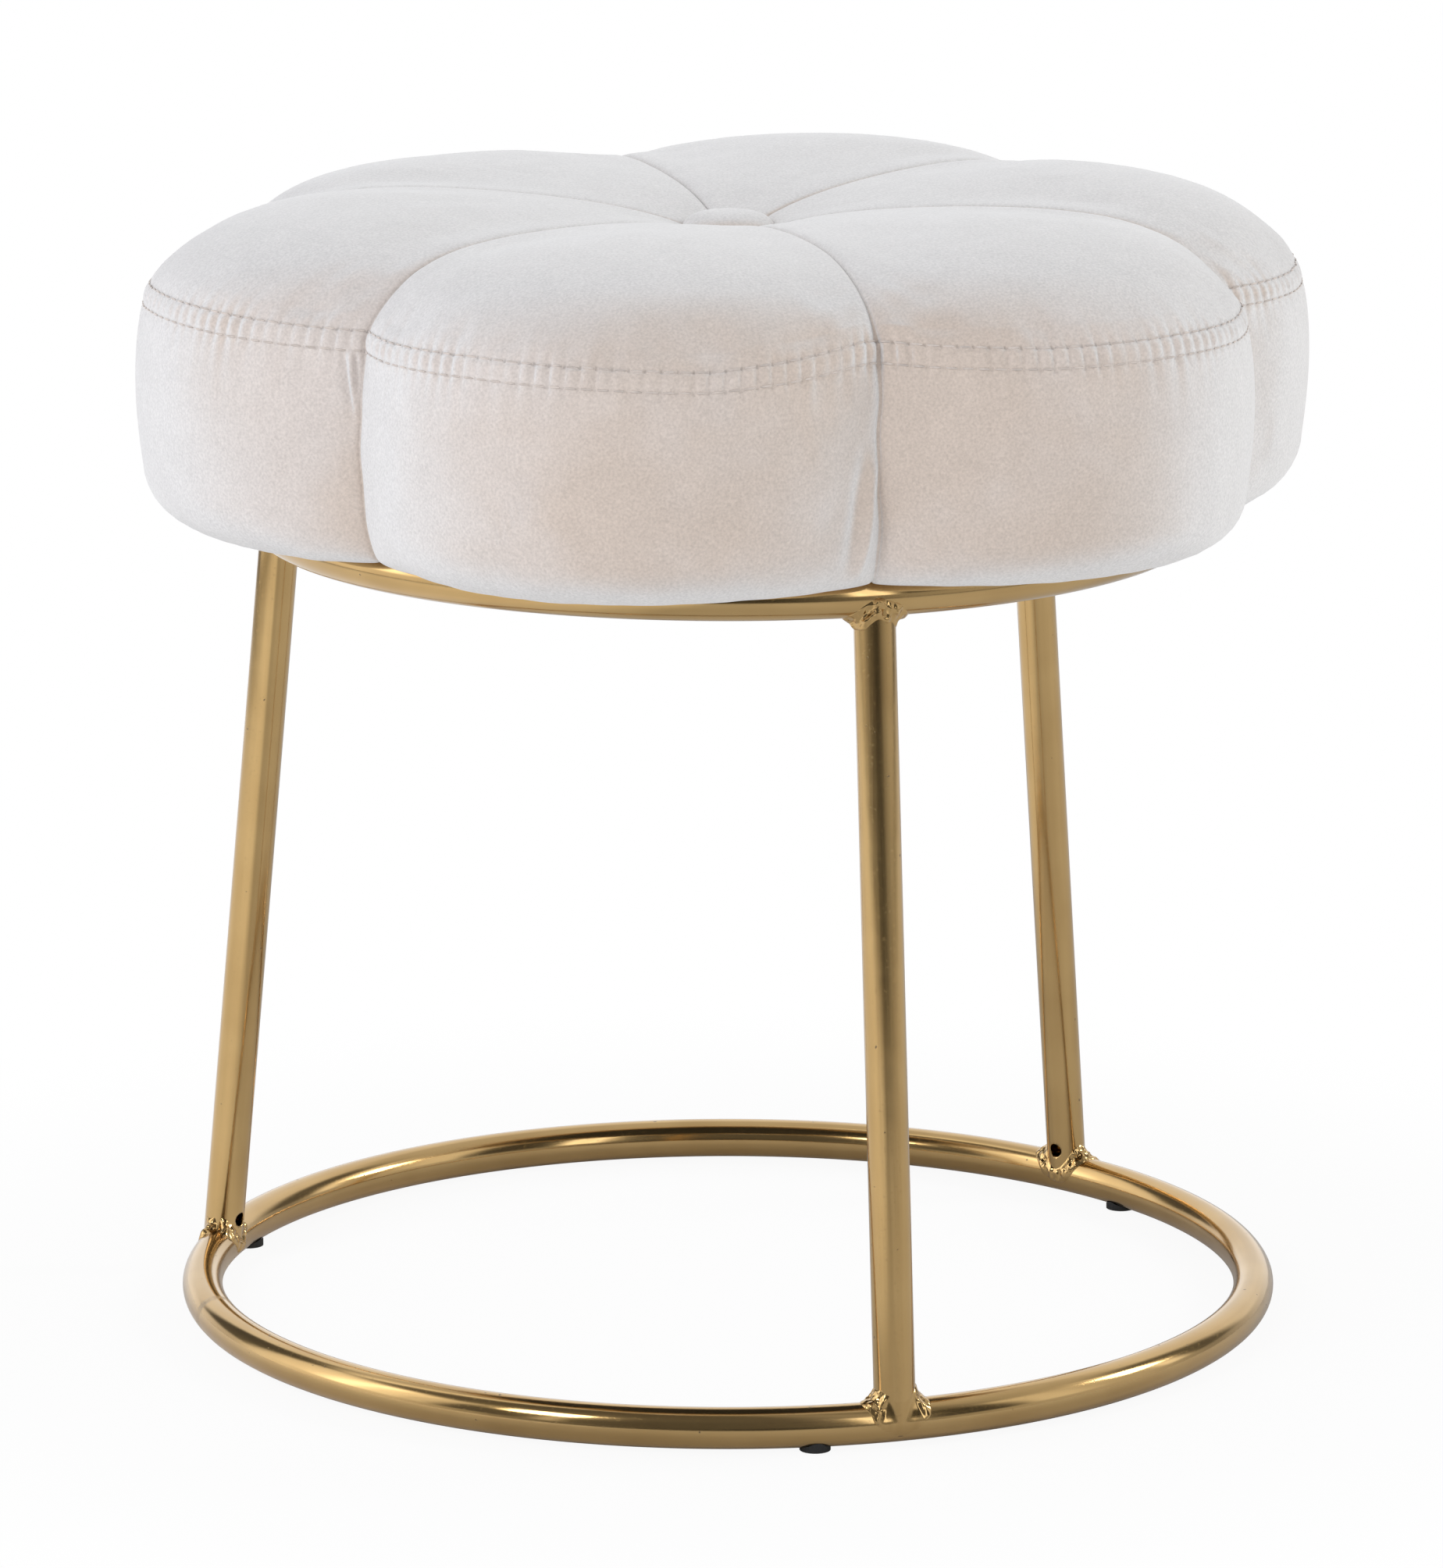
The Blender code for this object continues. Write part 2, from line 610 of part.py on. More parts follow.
def make_twine(cord):
    """Twine from the button's back, down through foam and board, and along the board's underside."""
    top = button_underside(COVER_HOLE_DIAMETER / 2) - CLEARANCE
    bottom = BOARD_BOTTOM - CLEARANCE - TWINE_DIAMETER / 2
    bend = TWINE_BEND_RADIUS
    points = [Vector((0, 0, top)), Vector((0, 0, (top + bottom) / 2))]
    for step in range(BEND_STEPS + 1):
        turn = math.pi / 2 * step / BEND_STEPS
        out = bend * (1 - math.cos(turn))
        points.append(Vector((out, 0, bottom + bend * (1 - math.sin(turn)))))
    points.append(Vector((bend + TWINE_TAIL, 0, bottom)))
    tube_along("button_twine", points, TWINE_DIAMETER / 2, 1, cord)



clear_scene()
pieces = new_collection("vanity stool")
cutters = new_collection("cutters", shown=False)
gold = new_material("plated tube", (0.60, 0.43, 0.20), 0.22, 1.0)
velvet = new_material("cream velvet", (0.78, 0.74, 0.70), 0.9)
black = new_material("black rubber", (0.02, 0.02, 0.02), 0.7)
sheet = new_material("black lining", (0.03, 0.03, 0.03), 0.95)
steel = new_material("zinc steel", (0.55, 0.56, 0.58), 0.35, 1.0)
plywood = new_material("plywood", (0.62, 0.45, 0.27), 0.7)
foam = new_material("seat foam", (0.85, 0.80, 0.55), 0.95)
cord = new_material("waxed twine", (0.80, 0.76, 0.66), 0.8)

base_seat = torus("base_seat", BASE_RING_RADIUS, SEAT_RADIUS_ON_TUBE, BASE_RING_HEIGHT, TUBE_STEPS)
top_seat = torus("top_seat", TOP_RING_RADIUS, SEAT_RADIUS_ON_TUBE, TOP_RING_HEIGHT, TUBE_STEPS)

make_rings(gold)
make_glides(black, base_seat)
make_legs(gold, base_seat, top_seat)
make_tabs(gold, top_seat)
make_fasteners(steel)
make_board(plywood)
make_dust_cover(sheet)
make_foam(foam)
make_cover(velvet)
make_button(velvet)
make_twine(cord)
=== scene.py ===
import math

import bmesh
import bpy
import numpy as np
from mathutils import Matrix, Vector, noise


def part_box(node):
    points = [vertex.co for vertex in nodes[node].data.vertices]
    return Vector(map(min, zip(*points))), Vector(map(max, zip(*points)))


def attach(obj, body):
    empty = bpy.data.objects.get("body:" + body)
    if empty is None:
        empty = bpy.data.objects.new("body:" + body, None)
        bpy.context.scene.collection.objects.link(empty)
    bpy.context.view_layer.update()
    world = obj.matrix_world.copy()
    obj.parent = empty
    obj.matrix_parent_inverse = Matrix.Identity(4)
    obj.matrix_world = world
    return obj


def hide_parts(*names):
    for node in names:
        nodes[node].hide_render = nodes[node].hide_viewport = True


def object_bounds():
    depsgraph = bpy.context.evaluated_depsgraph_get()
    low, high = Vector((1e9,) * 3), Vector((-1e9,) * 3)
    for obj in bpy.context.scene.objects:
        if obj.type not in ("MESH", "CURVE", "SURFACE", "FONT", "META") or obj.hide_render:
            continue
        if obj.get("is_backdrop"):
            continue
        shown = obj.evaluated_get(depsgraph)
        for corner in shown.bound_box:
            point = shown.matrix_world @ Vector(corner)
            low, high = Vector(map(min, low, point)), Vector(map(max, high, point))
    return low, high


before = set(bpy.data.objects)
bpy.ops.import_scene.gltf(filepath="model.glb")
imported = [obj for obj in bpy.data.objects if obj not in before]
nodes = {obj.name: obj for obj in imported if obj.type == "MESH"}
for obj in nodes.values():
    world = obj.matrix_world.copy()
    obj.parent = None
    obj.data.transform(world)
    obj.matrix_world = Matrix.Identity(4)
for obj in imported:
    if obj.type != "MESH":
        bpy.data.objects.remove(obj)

cad_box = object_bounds()
scene = bpy.context.scene

# Camera: a long lens a little above the seat, turned so that the front leg stands right of the
# middle. The cushion in the photo is turned a little on its frame, and this view splits that.
CAMERA_REACH = 3.327
CAMERA_HEIGHT = 0.9631
CAMERA_TURN = math.radians(-17.5)
CAMERA_PAN = math.radians(0.045)
CAMERA_DIP = math.radians(12.717)
LENS_MM = 196.24


def added(name, data):
    """A new object of the scene."""
    item = bpy.data.objects.new(name, data)
    scene.collection.objects.link(item)
    return item


camera = added("camera", bpy.data.cameras.new("camera"))
camera.data.lens = LENS_MM
camera.data.sensor_width = 36
camera.rotation_euler = (math.pi / 2 - CAMERA_DIP, 0, CAMERA_TURN + CAMERA_PAN)
camera.location = Matrix.Rotation(CAMERA_TURN, 3, "Z") @ Vector((0, -CAMERA_REACH, CAMERA_HEIGHT))
scene.camera = camera
scene.view_settings.view_transform = "Standard"


# Studio: a white floor that keeps a faint shadow, white all round for the camera, and soft boxes.
# Metal mirrors what stands round such a set: a white backdrop behind, a lit panel at each side,
# unlit gaps between them, and the dark room in front, beyond the end of the paper floor.
class Signal:
    """A shader value. Arithmetic on it adds Math nodes, and node adds any other kind of node."""

    def __init__(self, tree, socket=None):
        self.tree = tree
        self.socket = socket

    def node(self, kind, settings=None, inputs=None, output=0):
        made = self.tree.nodes.new("ShaderNode" + kind)
        for name, setting in (settings or {}).items():
            if name == "stops":
                first, last = made.color_ramp.elements
                last.position, last.color = setting[-1]
                first.position, first.color = setting[0]
                for place, colour in setting[1:-1]:
                    made.color_ramp.elements.new(place).color = colour
            else:
                setattr(made, name, setting)
        for name, value in (inputs or {}).items():
            self.feed(made.inputs[name], value)
        return Signal(self.tree, made.outputs[output])

    def feed(self, socket, value):
        if isinstance(value, Signal):
            self.tree.links.new(value.socket, socket)
        else:
            socket.default_value = value

    def math(self, operation, *others):
        return self.node("Math", {"operation": operation}, dict(enumerate((self, *others))))

    def mix(self, low, high):
        """The colour low where this is 0, high where it is 1."""
        return self.node("Mix", {"data_type": "RGBA"}, {"Factor": self, "A": low, "B": high}, 2)

    def step(self, low, high):
        """0 below low and 1 above high, smooth between."""
        eased = {"interpolation_type": "SMOOTHSTEP"}
        return self.node("MapRange", eased, {"Value": self, "From Min": low, "From Max": high})

    def noise(self, scale, detail):
        return self.node("TexNoise", inputs={"Vector": self, "Scale": scale, "Detail": detail})

    def ramp(self, stops):
        return self.node("ValToRGB", {"stops": stops}, {"Fac": self})

    def towards(self, way):
        """How far this place lies in a direction."""
        return self.node("VectorMath", {"operation": "DOT_PRODUCT"}, {0: self, 1: way}, "Value")

    def part(self, axis):
        return self.node("SeparateXYZ", inputs={0: self}, output=axis)

    def ray(self, kind):
        """1 for rays of a kind, such as Camera, and 0 for the others."""
        return self.node("LightPath", output=f"Is {kind} Ray")

    def __add__(self, other):
        return self.math("ADD", other)

    def __sub__(self, other):
        return self.math("SUBTRACT", other)

    def __mul__(self, other):
        return self.math("MULTIPLY", other)

    def __rsub__(self, other):
        return (self * -1) + other

    __radd__ = __add__
    __rmul__ = __mul__


PURE_WHITE = (1, 1, 1, 1)
# How bright the set is all round, in degrees from -180 through -90 at the front to 180: as metal
# mirrors it, which is smoother near the floor, and then as the soft light that reaches the object.
MIRRORED = [
    (-180, 0.85), (-174, 1.0), (-169, 0.1), (-149, 0.1), (-147, 0.9), (-144, 0.9), (-142, 0.1),
    (-90, 0.12), (-79, 0.2), (-76, 2.9), (-74, 1.4), (-72, 1.3), (-70, 2.9), (-67, 0.06),
    (-47, 0.06), (-43, 0.3), (-40, 0.9), (-30, 0.85), (-22, 0.65), (-6, 0.55), (-3, 1.4),
    (1, 1.2), (7, 0.1), (22, 0.12), (32, 0.85), (104, 0.92), (110, 0.08), (131, 0.1), (137, 1.0),
    (155, 1.3), (165, 2.6), (172, 1.3),
]
MIRRORED_LOW = [
    (-180, 0.8), (-165, 0.45), (-146, 0.2), (-125, 0.09), (-97, 0.05), (-85, 0.12), (-74, 0.25),
    (-60, 0.36), (-40, 0.5), (-12, 0.6), (14, 0.3), (60, 1.0), (104, 1.0), (128, 0.6),
    (142, 1.1), (165, 0.95), (180, 0.8),
]
MIRRORED_ABOVE = [
    (-180, 0.12), (-90, 0.14), (-69, 0.4), (-62, 0.4), (-50, 0.16), (-25, 0.5), (20, 0.6),
    (110, 0.62), (124, 1.0), (131, 1.3), (138, 0.3), (150, 0.12), (180, 0.12),
]
LOW_END = 0.14
HIGH_START = 0.24
SOFT_LIGHT = [
    (-180, 1.37), (-150, 1.25), (-120, 1.11), (-90, 0.97), (-60, 0.97), (-30, 1.20), (0, 1.38),
    (60, 1.34), (120, 1.36), (180, 1.37),
]
SOFT_LIGHT_ABOVE = [(-180, 0.09), (180, 0.09)]
COOLER_LEFT = 0.07
COOLEST_AT = -160
CEILING_START = 0.66
CEILING_FULL = 0.78

world = bpy.data.worlds.new("studio")
world.use_nodes = True
shade = Signal(world.node_tree)
outwards = shade.node("TexCoord", output="Generated")
rise = outwards.part("Z")
bearing = outwards.part("Y").math("ARCTAN2", outwards.part("X")) * (0.5 / math.pi) + 0.5


def all_round(levels, cooler=0):
    """A brightness that changes round the set, cooler towards the left by the share given."""
    stops = []
    for degrees, level in levels:
        cool = cooler * max(0, math.cos(math.radians(degrees - COOLEST_AT)))
        stops.append((degrees / 360 + 0.5, (level * (1 - cool / 4), level, level * (1 + cool), 1)))
    return bearing.ramp(stops)


overhead = rise.step(CEILING_START, CEILING_FULL)
raised = rise.step(LOW_END, HIGH_START)
soft_light = overhead.mix(all_round(SOFT_LIGHT, COOLER_LEFT), all_round(SOFT_LIGHT_ABOVE))
mirrored = raised.mix(all_round(MIRRORED_LOW), all_round(MIRRORED))
mirrored = overhead.mix(mirrored, all_round(MIRRORED_ABOVE))
surroundings = shade.ray("Glossy").mix(soft_light, mirrored)
for kind in ("Transmission", "Camera"):
    surroundings = shade.ray(kind).mix(surroundings, PURE_WHITE)
shade.feed(world.node_tree.nodes["Background"].inputs["Color"], surroundings)
scene.world = world

FLOOR_RADIUS = 2.6
FLOOR_EDGES = 96
FLOOR_LIT = 1.5
FLOOR_SHADOW = 0.08
FLOOR_GLOW = 0.42
SHADOW_END = 0.5
PAPER = (0.9, 0.9, 0.9, 1)
UNLIT_PAPER = (0.06, 0.06, 0.06, 1)
# Painted light and shade on the paper as metal mirrors it, from left to right across the picture: paler
# towards the left, as if lit from there, and darker in the middle, as if shaded by the stool.
PAPER_MIRRORED_PAINTED_LIGHT = [(0.16, 1), (0.30, 0.82), (0.41, 0.57), (0.60, 0.57), (0.75, 0.66)]
ACROSS = (0.954, -0.301, 0)


def new_material(name):
    """A new material, and the signal that its nodes start from."""
    material = bpy.data.materials.new(name)
    material.use_nodes = True
    return material, Signal(material.node_tree)


def linked(name, shape):
    """The bmesh as an object of the scene."""
    mesh = bpy.data.meshes.new(name)
    shape.to_mesh(mesh)
    shape.free()
    return added(name, mesh)


disc = bmesh.new()
bmesh.ops.create_circle(disc, cap_ends=True, segments=FLOOR_EDGES, radius=FLOOR_RADIUS)
floor = linked("floor", disc)
paper, shade = new_material("white paper")
glow = shade.node("Emission", inputs={"Color": PURE_WHITE, "Strength": 1})
spot = shade.node("TexCoord", output="Object")
distance = shade.node("VectorMath", {"operation": "LENGTH"}, {0: spot}, output="Value")
stops = [(place, (level, level, level, 1)) for place, level in PAPER_MIRRORED_PAINTED_LIGHT]
# For glossy rays the paper's colour carries painted light and shade across the picture.
paper_painted_light = shade.ray("Glossy").mix(PAPER, (spot.towards(ACROSS) + 0.5).ramp(stops))
lit = distance.step(FLOOR_LIT, FLOOR_RADIUS).mix(paper_painted_light, UNLIT_PAPER)
matte = shade.node("BsdfDiffuse", inputs={"Color": lit})
shadow = FLOOR_SHADOW * (1 - distance.step(SHADOW_END / 2, SHADOW_END))
seen = shade.ray("Camera") * (1 - shadow)
lifted = shade.ray("Diffuse") * FLOOR_GLOW
both = shade.node("MixShader", inputs={0: seen.math("MAXIMUM", lifted), 1: matte, 2: glow})
shade.feed(paper.node_tree.nodes["Material Output"].inputs["Surface"], both)
floor.data.materials.append(paper)
floor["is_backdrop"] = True

SOFT_BOXES = {
    "left": ((-1.84, -1.06, 1.96), (0.6, 0.7), 13),
    "right": ((2.29, -0.32, 1.48), (0.5, 0.6), 10),
}
AIMED_AT = (0, 0, 0.3)
for name, (place, size, power) in SOFT_BOXES.items():
    lamp = bpy.data.lights.new(name, "AREA")
    lamp.shape = "RECTANGLE"
    lamp.size, lamp.size_y = size
    lamp.energy = power
    box = added(name, lamp)
    box.location = place
    box.rotation_euler = (Vector(AIMED_AT) - box.location).to_track_quat("-Z", "Y").to_euler()


# Base ring: steel tube bent to a full circle and butt welded, then polished along its length and
# plated a pale gold. The same finish is on every tube, so its grain follows each tube's length.
TUBE_RADIUS = 0.008
PLATED_GOLD = (0.70, 0.465, 0.19, 1)
PLATED_DEEP = (0.62, 0.40, 0.155, 1)
PIT_BROWN = (0.30, 0.21, 0.11, 1)
PLATED_ROUGHNESS = 0.15
LACQUERED = {"Metallic": 1, "Coat Weight": 0.6, "Coat Roughness": 0.1}
# The marks of the polish: how fine each kind is, and how much detail it has.
STREAKS, BANDS, CLOUDS, GRIT, PITS = (1100, 3), (240, 2), (30, 2), (700, 1), (420, 0)
RING_STEPS = 288
TUBE_STEPS = 48


def surfaced(material, settings, colour, roughness, bumps, strength, depth):
    """Gives a material's shader its settings, colour, roughness and bumps of a depth."""
    shade = Signal(material.node_tree)
    bump = shade.node("Bump", inputs={"Height": bumps, "Strength": strength, "Distance": depth})
    settings = {**settings, "Base Color": colour, "Roughness": roughness, "Normal": bump}
    for name, value in settings.items():
        shade.feed(material.node_tree.nodes["Principled BSDF"].inputs[name], value)
    return material


def plated_finish(name, follows_tube=True):
    """Plated steel: streaks along the tube, soft clouds in the polish, and a few tiny pits."""
    material, shade = new_material(name)
    if follows_tube:
        place = shade.node("Attribute", {"attribute_name": "grain"}, output="Vector")
    else:
        place = shade.node("TexCoord", output="Object")
    drawn_out = shade.node("Mapping", inputs={"Vector": place, "Scale": (1, 1, 0.03)})
    streaks, bands = drawn_out.noise(*STREAKS), drawn_out.noise(*BANDS)
    clouds, grit = place.noise(*CLOUDS), place.noise(*GRIT)
    pits = place.noise(*PITS).step(0.85, 0.88)
    colour = (clouds * 0.6 + bands * 0.4).step(0.35, 0.65).mix(PLATED_GOLD, PLATED_DEEP)
    rough = streaks * 0.10 + bands * 0.10 + grit.step(0.6, 0.8) * 0.08 + pits * 0.3
    rough = rough + (PLATED_ROUGHNESS - 0.1)
    waves = clouds * 0.8 + bands * 0.12 + streaks * 0.02 - pits * 0.15
    return surfaced(material, LACQUERED, pits.mix(colour, PIT_BROWN), rough, waves, 0.3, 0.0006)


def finished(name, mesh, material, *replaced, slot):
    """A piece of the object: shaded smooth, riding on the one body, in place of its CAD nodes."""
    piece = added(name, mesh)
    mesh.materials.clear()
    mesh.materials.append(material)
    mesh.shade_smooth()
    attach(piece, "root")
    if replaced:
        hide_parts(*replaced)
    return piece


def mesh_of(name, shape):
    """The bmesh as a mesh with its faces turned outwards."""
    bmesh.ops.recalc_face_normals(shape, faces=shape.faces)
    mesh = bpy.data.meshes.new(name)
    shape.to_mesh(mesh)
    shape.free()
    return mesh


def lay_grain(mesh, place_on_tube=lambda at: at):
    """Keeps on each point where it lies across and along its tube, for the finish to follow."""
    grain = mesh.attributes.new("grain", "FLOAT_VECTOR", "POINT")
    for point, vertex in zip(grain.data, mesh.vertices):
        point.vector = place_on_tube(vertex.co)


def spun_circle(sides, size, steps, reach, height=0):
    """A circle that stands on edge at a reach from the Z axis, spun round that axis."""
    spun = bmesh.new()
    bmesh.ops.create_circle(spun, segments=sides, radius=size)
    upright = Matrix.Translation((reach, 0, height)) @ Matrix.Rotation(math.pi / 2, 4, "X")
    bmesh.ops.transform(spun, matrix=upright, verts=spun.verts)
    bmesh.ops.spin(
        spun, geom=spun.edges, cent=(0, 0, 0), axis=(0, 0, 1), angle=2 * math.pi, steps=steps,
        use_merge=True,
    )
    return spun


def polished_ring(node):
    """The ring in place of its CAD node, with the radius and height of its tube's middle."""
    low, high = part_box(node)
    radius, height = high[0] - TUBE_RADIUS, (low[2] + high[2]) / 2
    name = f"{node}_polished"
    mesh = mesh_of(name, spun_circle(TUBE_STEPS, TUBE_RADIUS, RING_STEPS, radius, height))

    def place_on_tube(at):
        return math.hypot(at.x, at.y) - radius, at.z - height, radius * math.atan2(at.y, at.x)

    lay_grain(mesh, place_on_tube)
    finished(name, mesh, plated_tube, node, slot="plated_tube")
    return radius, height


plated_tube = plated_finish("plated tube")
base_radius, base_height = polished_ring("base_ring")


# Top ring: a smaller circle of the same tube, made and plated as the base ring is. The edge of the
# seat comes down on it, and the legs are welded under it.
top_radius, top_height = polished_ring("top_ring")


# Legs: straight lengths of the tube, each end coped to sit on a ring, with a vent drilled in the
# inner side near the foot so that the bath drains out of the tube when it is plated.
LEG_ANGLES = {"leg_front": -90, "leg_right": 30, "leg_left": 150}
LEG_STEPS = 72
LEG_CUTS = 150
LEG_CROWDING = 0.6
LEG_WALL = 0.0012
VENT_RADIUS = 0.0029
VENT_HEIGHT = 0.012
VENT_SIDES = 32
VENT_TURNS = {"leg_front": 0, "leg_right": math.radians(5), "leg_left": math.radians(-20)}
lean = math.atan2(top_radius - base_radius, top_height - base_height)
leg_length = math.hypot(top_radius - base_radius, top_height - base_height)


def leg_matrix(degrees):
    """The leg's own frame: +Z up its centreline from the base ring's tube, +X outwards."""
    foot = Matrix.Translation((base_radius, 0, base_height))
    return Matrix.Rotation(math.radians(degrees), 4, "Z") @ foot @ Matrix.Rotation(lean, 4, "Y")


def cylinder(shape, sides, radius, length, matrix=Matrix(), caps=True):
    """Adds a cylinder to the shape, along Z before the matrix moves it, and returns its points."""
    return bmesh.ops.create_cone(
        shape, cap_ends=caps, segments=sides, radius1=radius, radius2=radius, depth=length,
        matrix=matrix,
    )["verts"]


def coped_tube(radius):
    """A tube along Z whose ends follow the rings, with its cuts crowded towards the ends."""
    tube = bmesh.new()
    cylinder(tube, LEG_STEPS, radius, 2, caps=False)
    uprights = [edge for edge in tube.edges if abs(edge.verts[0].co.z - edge.verts[1].co.z) > 1]
    bmesh.ops.subdivide_edges(tube, edges=uprights, cuts=LEG_CUTS, use_grid_fill=True)
    for vertex in tube.verts:
        rise = (vertex.co.z + 1) / 2
        low = math.sqrt(max(0, TUBE_RADIUS**2 - vertex.co.x**2))
        eased = 0.5 - 0.5 * math.cos(math.pi * rise)
        rise = (1 - LEG_CROWDING) * rise + LEG_CROWDING * eased
        vertex.co.z = low + (leg_length - 2 * low) * rise
    return tube


def leg_mesh(name, degrees):
    leg = coped_tube(TUBE_RADIUS)
    bore = coped_tube(TUBE_RADIUS - LEG_WALL)
    bmesh.ops.reverse_faces(bore, faces=bore.faces)
    lining = bpy.data.meshes.new("bore")
    bore.to_mesh(lining)
    bore.free()
    leg.from_mesh(lining)
    bpy.data.meshes.remove(lining)
    rims = [edge for edge in leg.edges if edge.is_boundary]
    for head in (False, True):
        rim = [edge for edge in rims if (edge.verts[0].co.z > leg_length / 2) == head]
        bmesh.ops.bridge_loops(leg, edges=rim)
    whole = linked(name, leg)
    inner_side = Matrix.Translation((-TUBE_RADIUS, 0, VENT_HEIGHT))
    inner_side = Matrix.Rotation(VENT_TURNS[name], 4, "Z") @ inner_side
    lie = Matrix.Rotation(math.pi / 2, 4, "Y")
    drill = bmesh.new()
    cylinder(drill, VENT_SIDES, VENT_RADIUS, TUBE_RADIUS, inner_side @ lie)
    bit = linked("drill", drill)
    vent = whole.modifiers.new("vent", "BOOLEAN")
    vent.solver = "EXACT"
    vent.object = bit
    bpy.context.view_layer.update()
    drilled = whole.evaluated_get(bpy.context.evaluated_depsgraph_get())
    drilled = bpy.data.meshes.new_from_object(drilled)
    for item in (whole, bit):
        bpy.data.objects.remove(item)
    lay_grain(drilled)
    drilled.transform(leg_matrix(degrees))
    drilled.name = f"{name}_polished"
    return drilled


for name, degrees in LEG_ANGLES.items():
    tube = leg_mesh(name, degrees)
    finished(f"{name}_polished", tube, plated_tube, name, slot="plated_tube")


# Welds: molten metal fills the two crotches where each leg saddles a ring, and runs round the
# sides as a thinner bead. At the feet the outer side is ground to a smooth blend before plating.
WELD_STEPS = 224
WELD_SIDES = 44
BEAD_HEIGHT = 0.0011
BEAD_SUNK = 0.00025
ROOT_DEPTH = 0.0009
GROUND_FROM, GROUND_FADE = 0.70, 0.14
GROUND_BLEND = 0.0080
GROUND_PROUD = 0.00003
GROUND_SUNK = 0.00004
SADDLE_ROUNDED = 0.95
CROTCH_ROUNDED = 0.0030
UNEVEN = 0.4
LUMPS = ((0.0010, 310), (0.00028, 760))
RIPPLE, RIPPLES = 0.00016, 17
# Each is a size at the crotches, on the inner side and on the outer side, in metres.
WELD_UP_LEG = {"foot": (0.0046, 0.0012, 0.0072), "head": (0.0042, 0.0016, 0.0064)}
WELD_ON_RING = {"foot": (0.0062, 0.0046, 0.0080), "head": (0.0050, 0.0040, 0.0022)}
# Hollows and lumps in a weld: degrees round the leg from the crotch on +Y, the share of the way
# from ring to leg, how far it reaches in each, and its rise.
WELD_MARKS = {
    ("leg_left", "foot"): [
        (5, 0.5, 11, 0.6, -0.0024), (36, 0.5, 13, 0.3, 0.0008), (-32, 0.5, 15, 0.3, 0.0008),
    ],
    ("leg_front", "head"): [
        (127, 0.45, 15, 0.20, -0.0013), (80, 0.55, 10, 0.22, -0.0011),
        (99, 0.14, 9, 0.13, 0.0012), (52, 0.40, 13, 0.22, 0.0008),
    ],
}
RING_OF = {"foot": (base_radius, base_height, 1), "head": (top_radius, top_height, -1)}


def round_the_joint(sizes, turn):
    """The size at an angle from the crotch on +Y, with a quarter turn at the outer side."""
    crotch, inner, outer = sizes
    side = np.where(np.sin(turn) > 0, outer, inner)
    return crotch * np.cos(turn) ** 2 + side * np.sin(turn) ** 2


def joined(points, degrees, end, blend):
    """How far points stand out from a leg and ring that blend into each other, and the way out."""
    ring, height, up = RING_OF[end]
    to_world = leg_matrix(degrees)
    middle = np.array(to_world @ Vector((0, 0, 0 if up > 0 else leg_length)))
    up_leg = np.array(to_world.to_3x3() @ Vector((0, 0, up)))
    climb = np.maximum((points - middle) @ up_leg, 0)[:, None]
    off_leg = points - middle - climb * up_leg
    flat = np.hypot(points[:, 0], points[:, 1])[:, None]
    off_ring = points - points * (1, 1, 0) * ring / flat - (0, 0, height)
    leg_far = np.linalg.norm(off_leg, axis=1, keepdims=True)
    ring_far = np.linalg.norm(off_ring, axis=1, keepdims=True)
    leg_out, ring_out = off_leg / leg_far, off_ring / ring_far
    width = blend[:, None] * np.clip(1 - (leg_out * ring_out).sum(1, keepdims=True), 0.02, 1)
    share = np.clip(0.5 + 0.5 * (ring_far - leg_far) / width, 0, 1)
    gap = ring_far + (leg_far - ring_far) * share - width * share * (1 - share) - TUBE_RADIUS
    return gap, ring_out + (leg_out - ring_out) * share


def noise_at(points, scale):
    return np.array([noise.noise(Vector(point)) for point in points * scale])


def polar(reach, angle, height):
    """Points at a reach from the Z axis and an angle round it."""
    return np.stack([reach * np.cos(angle), reach * np.sin(angle), height], -1)


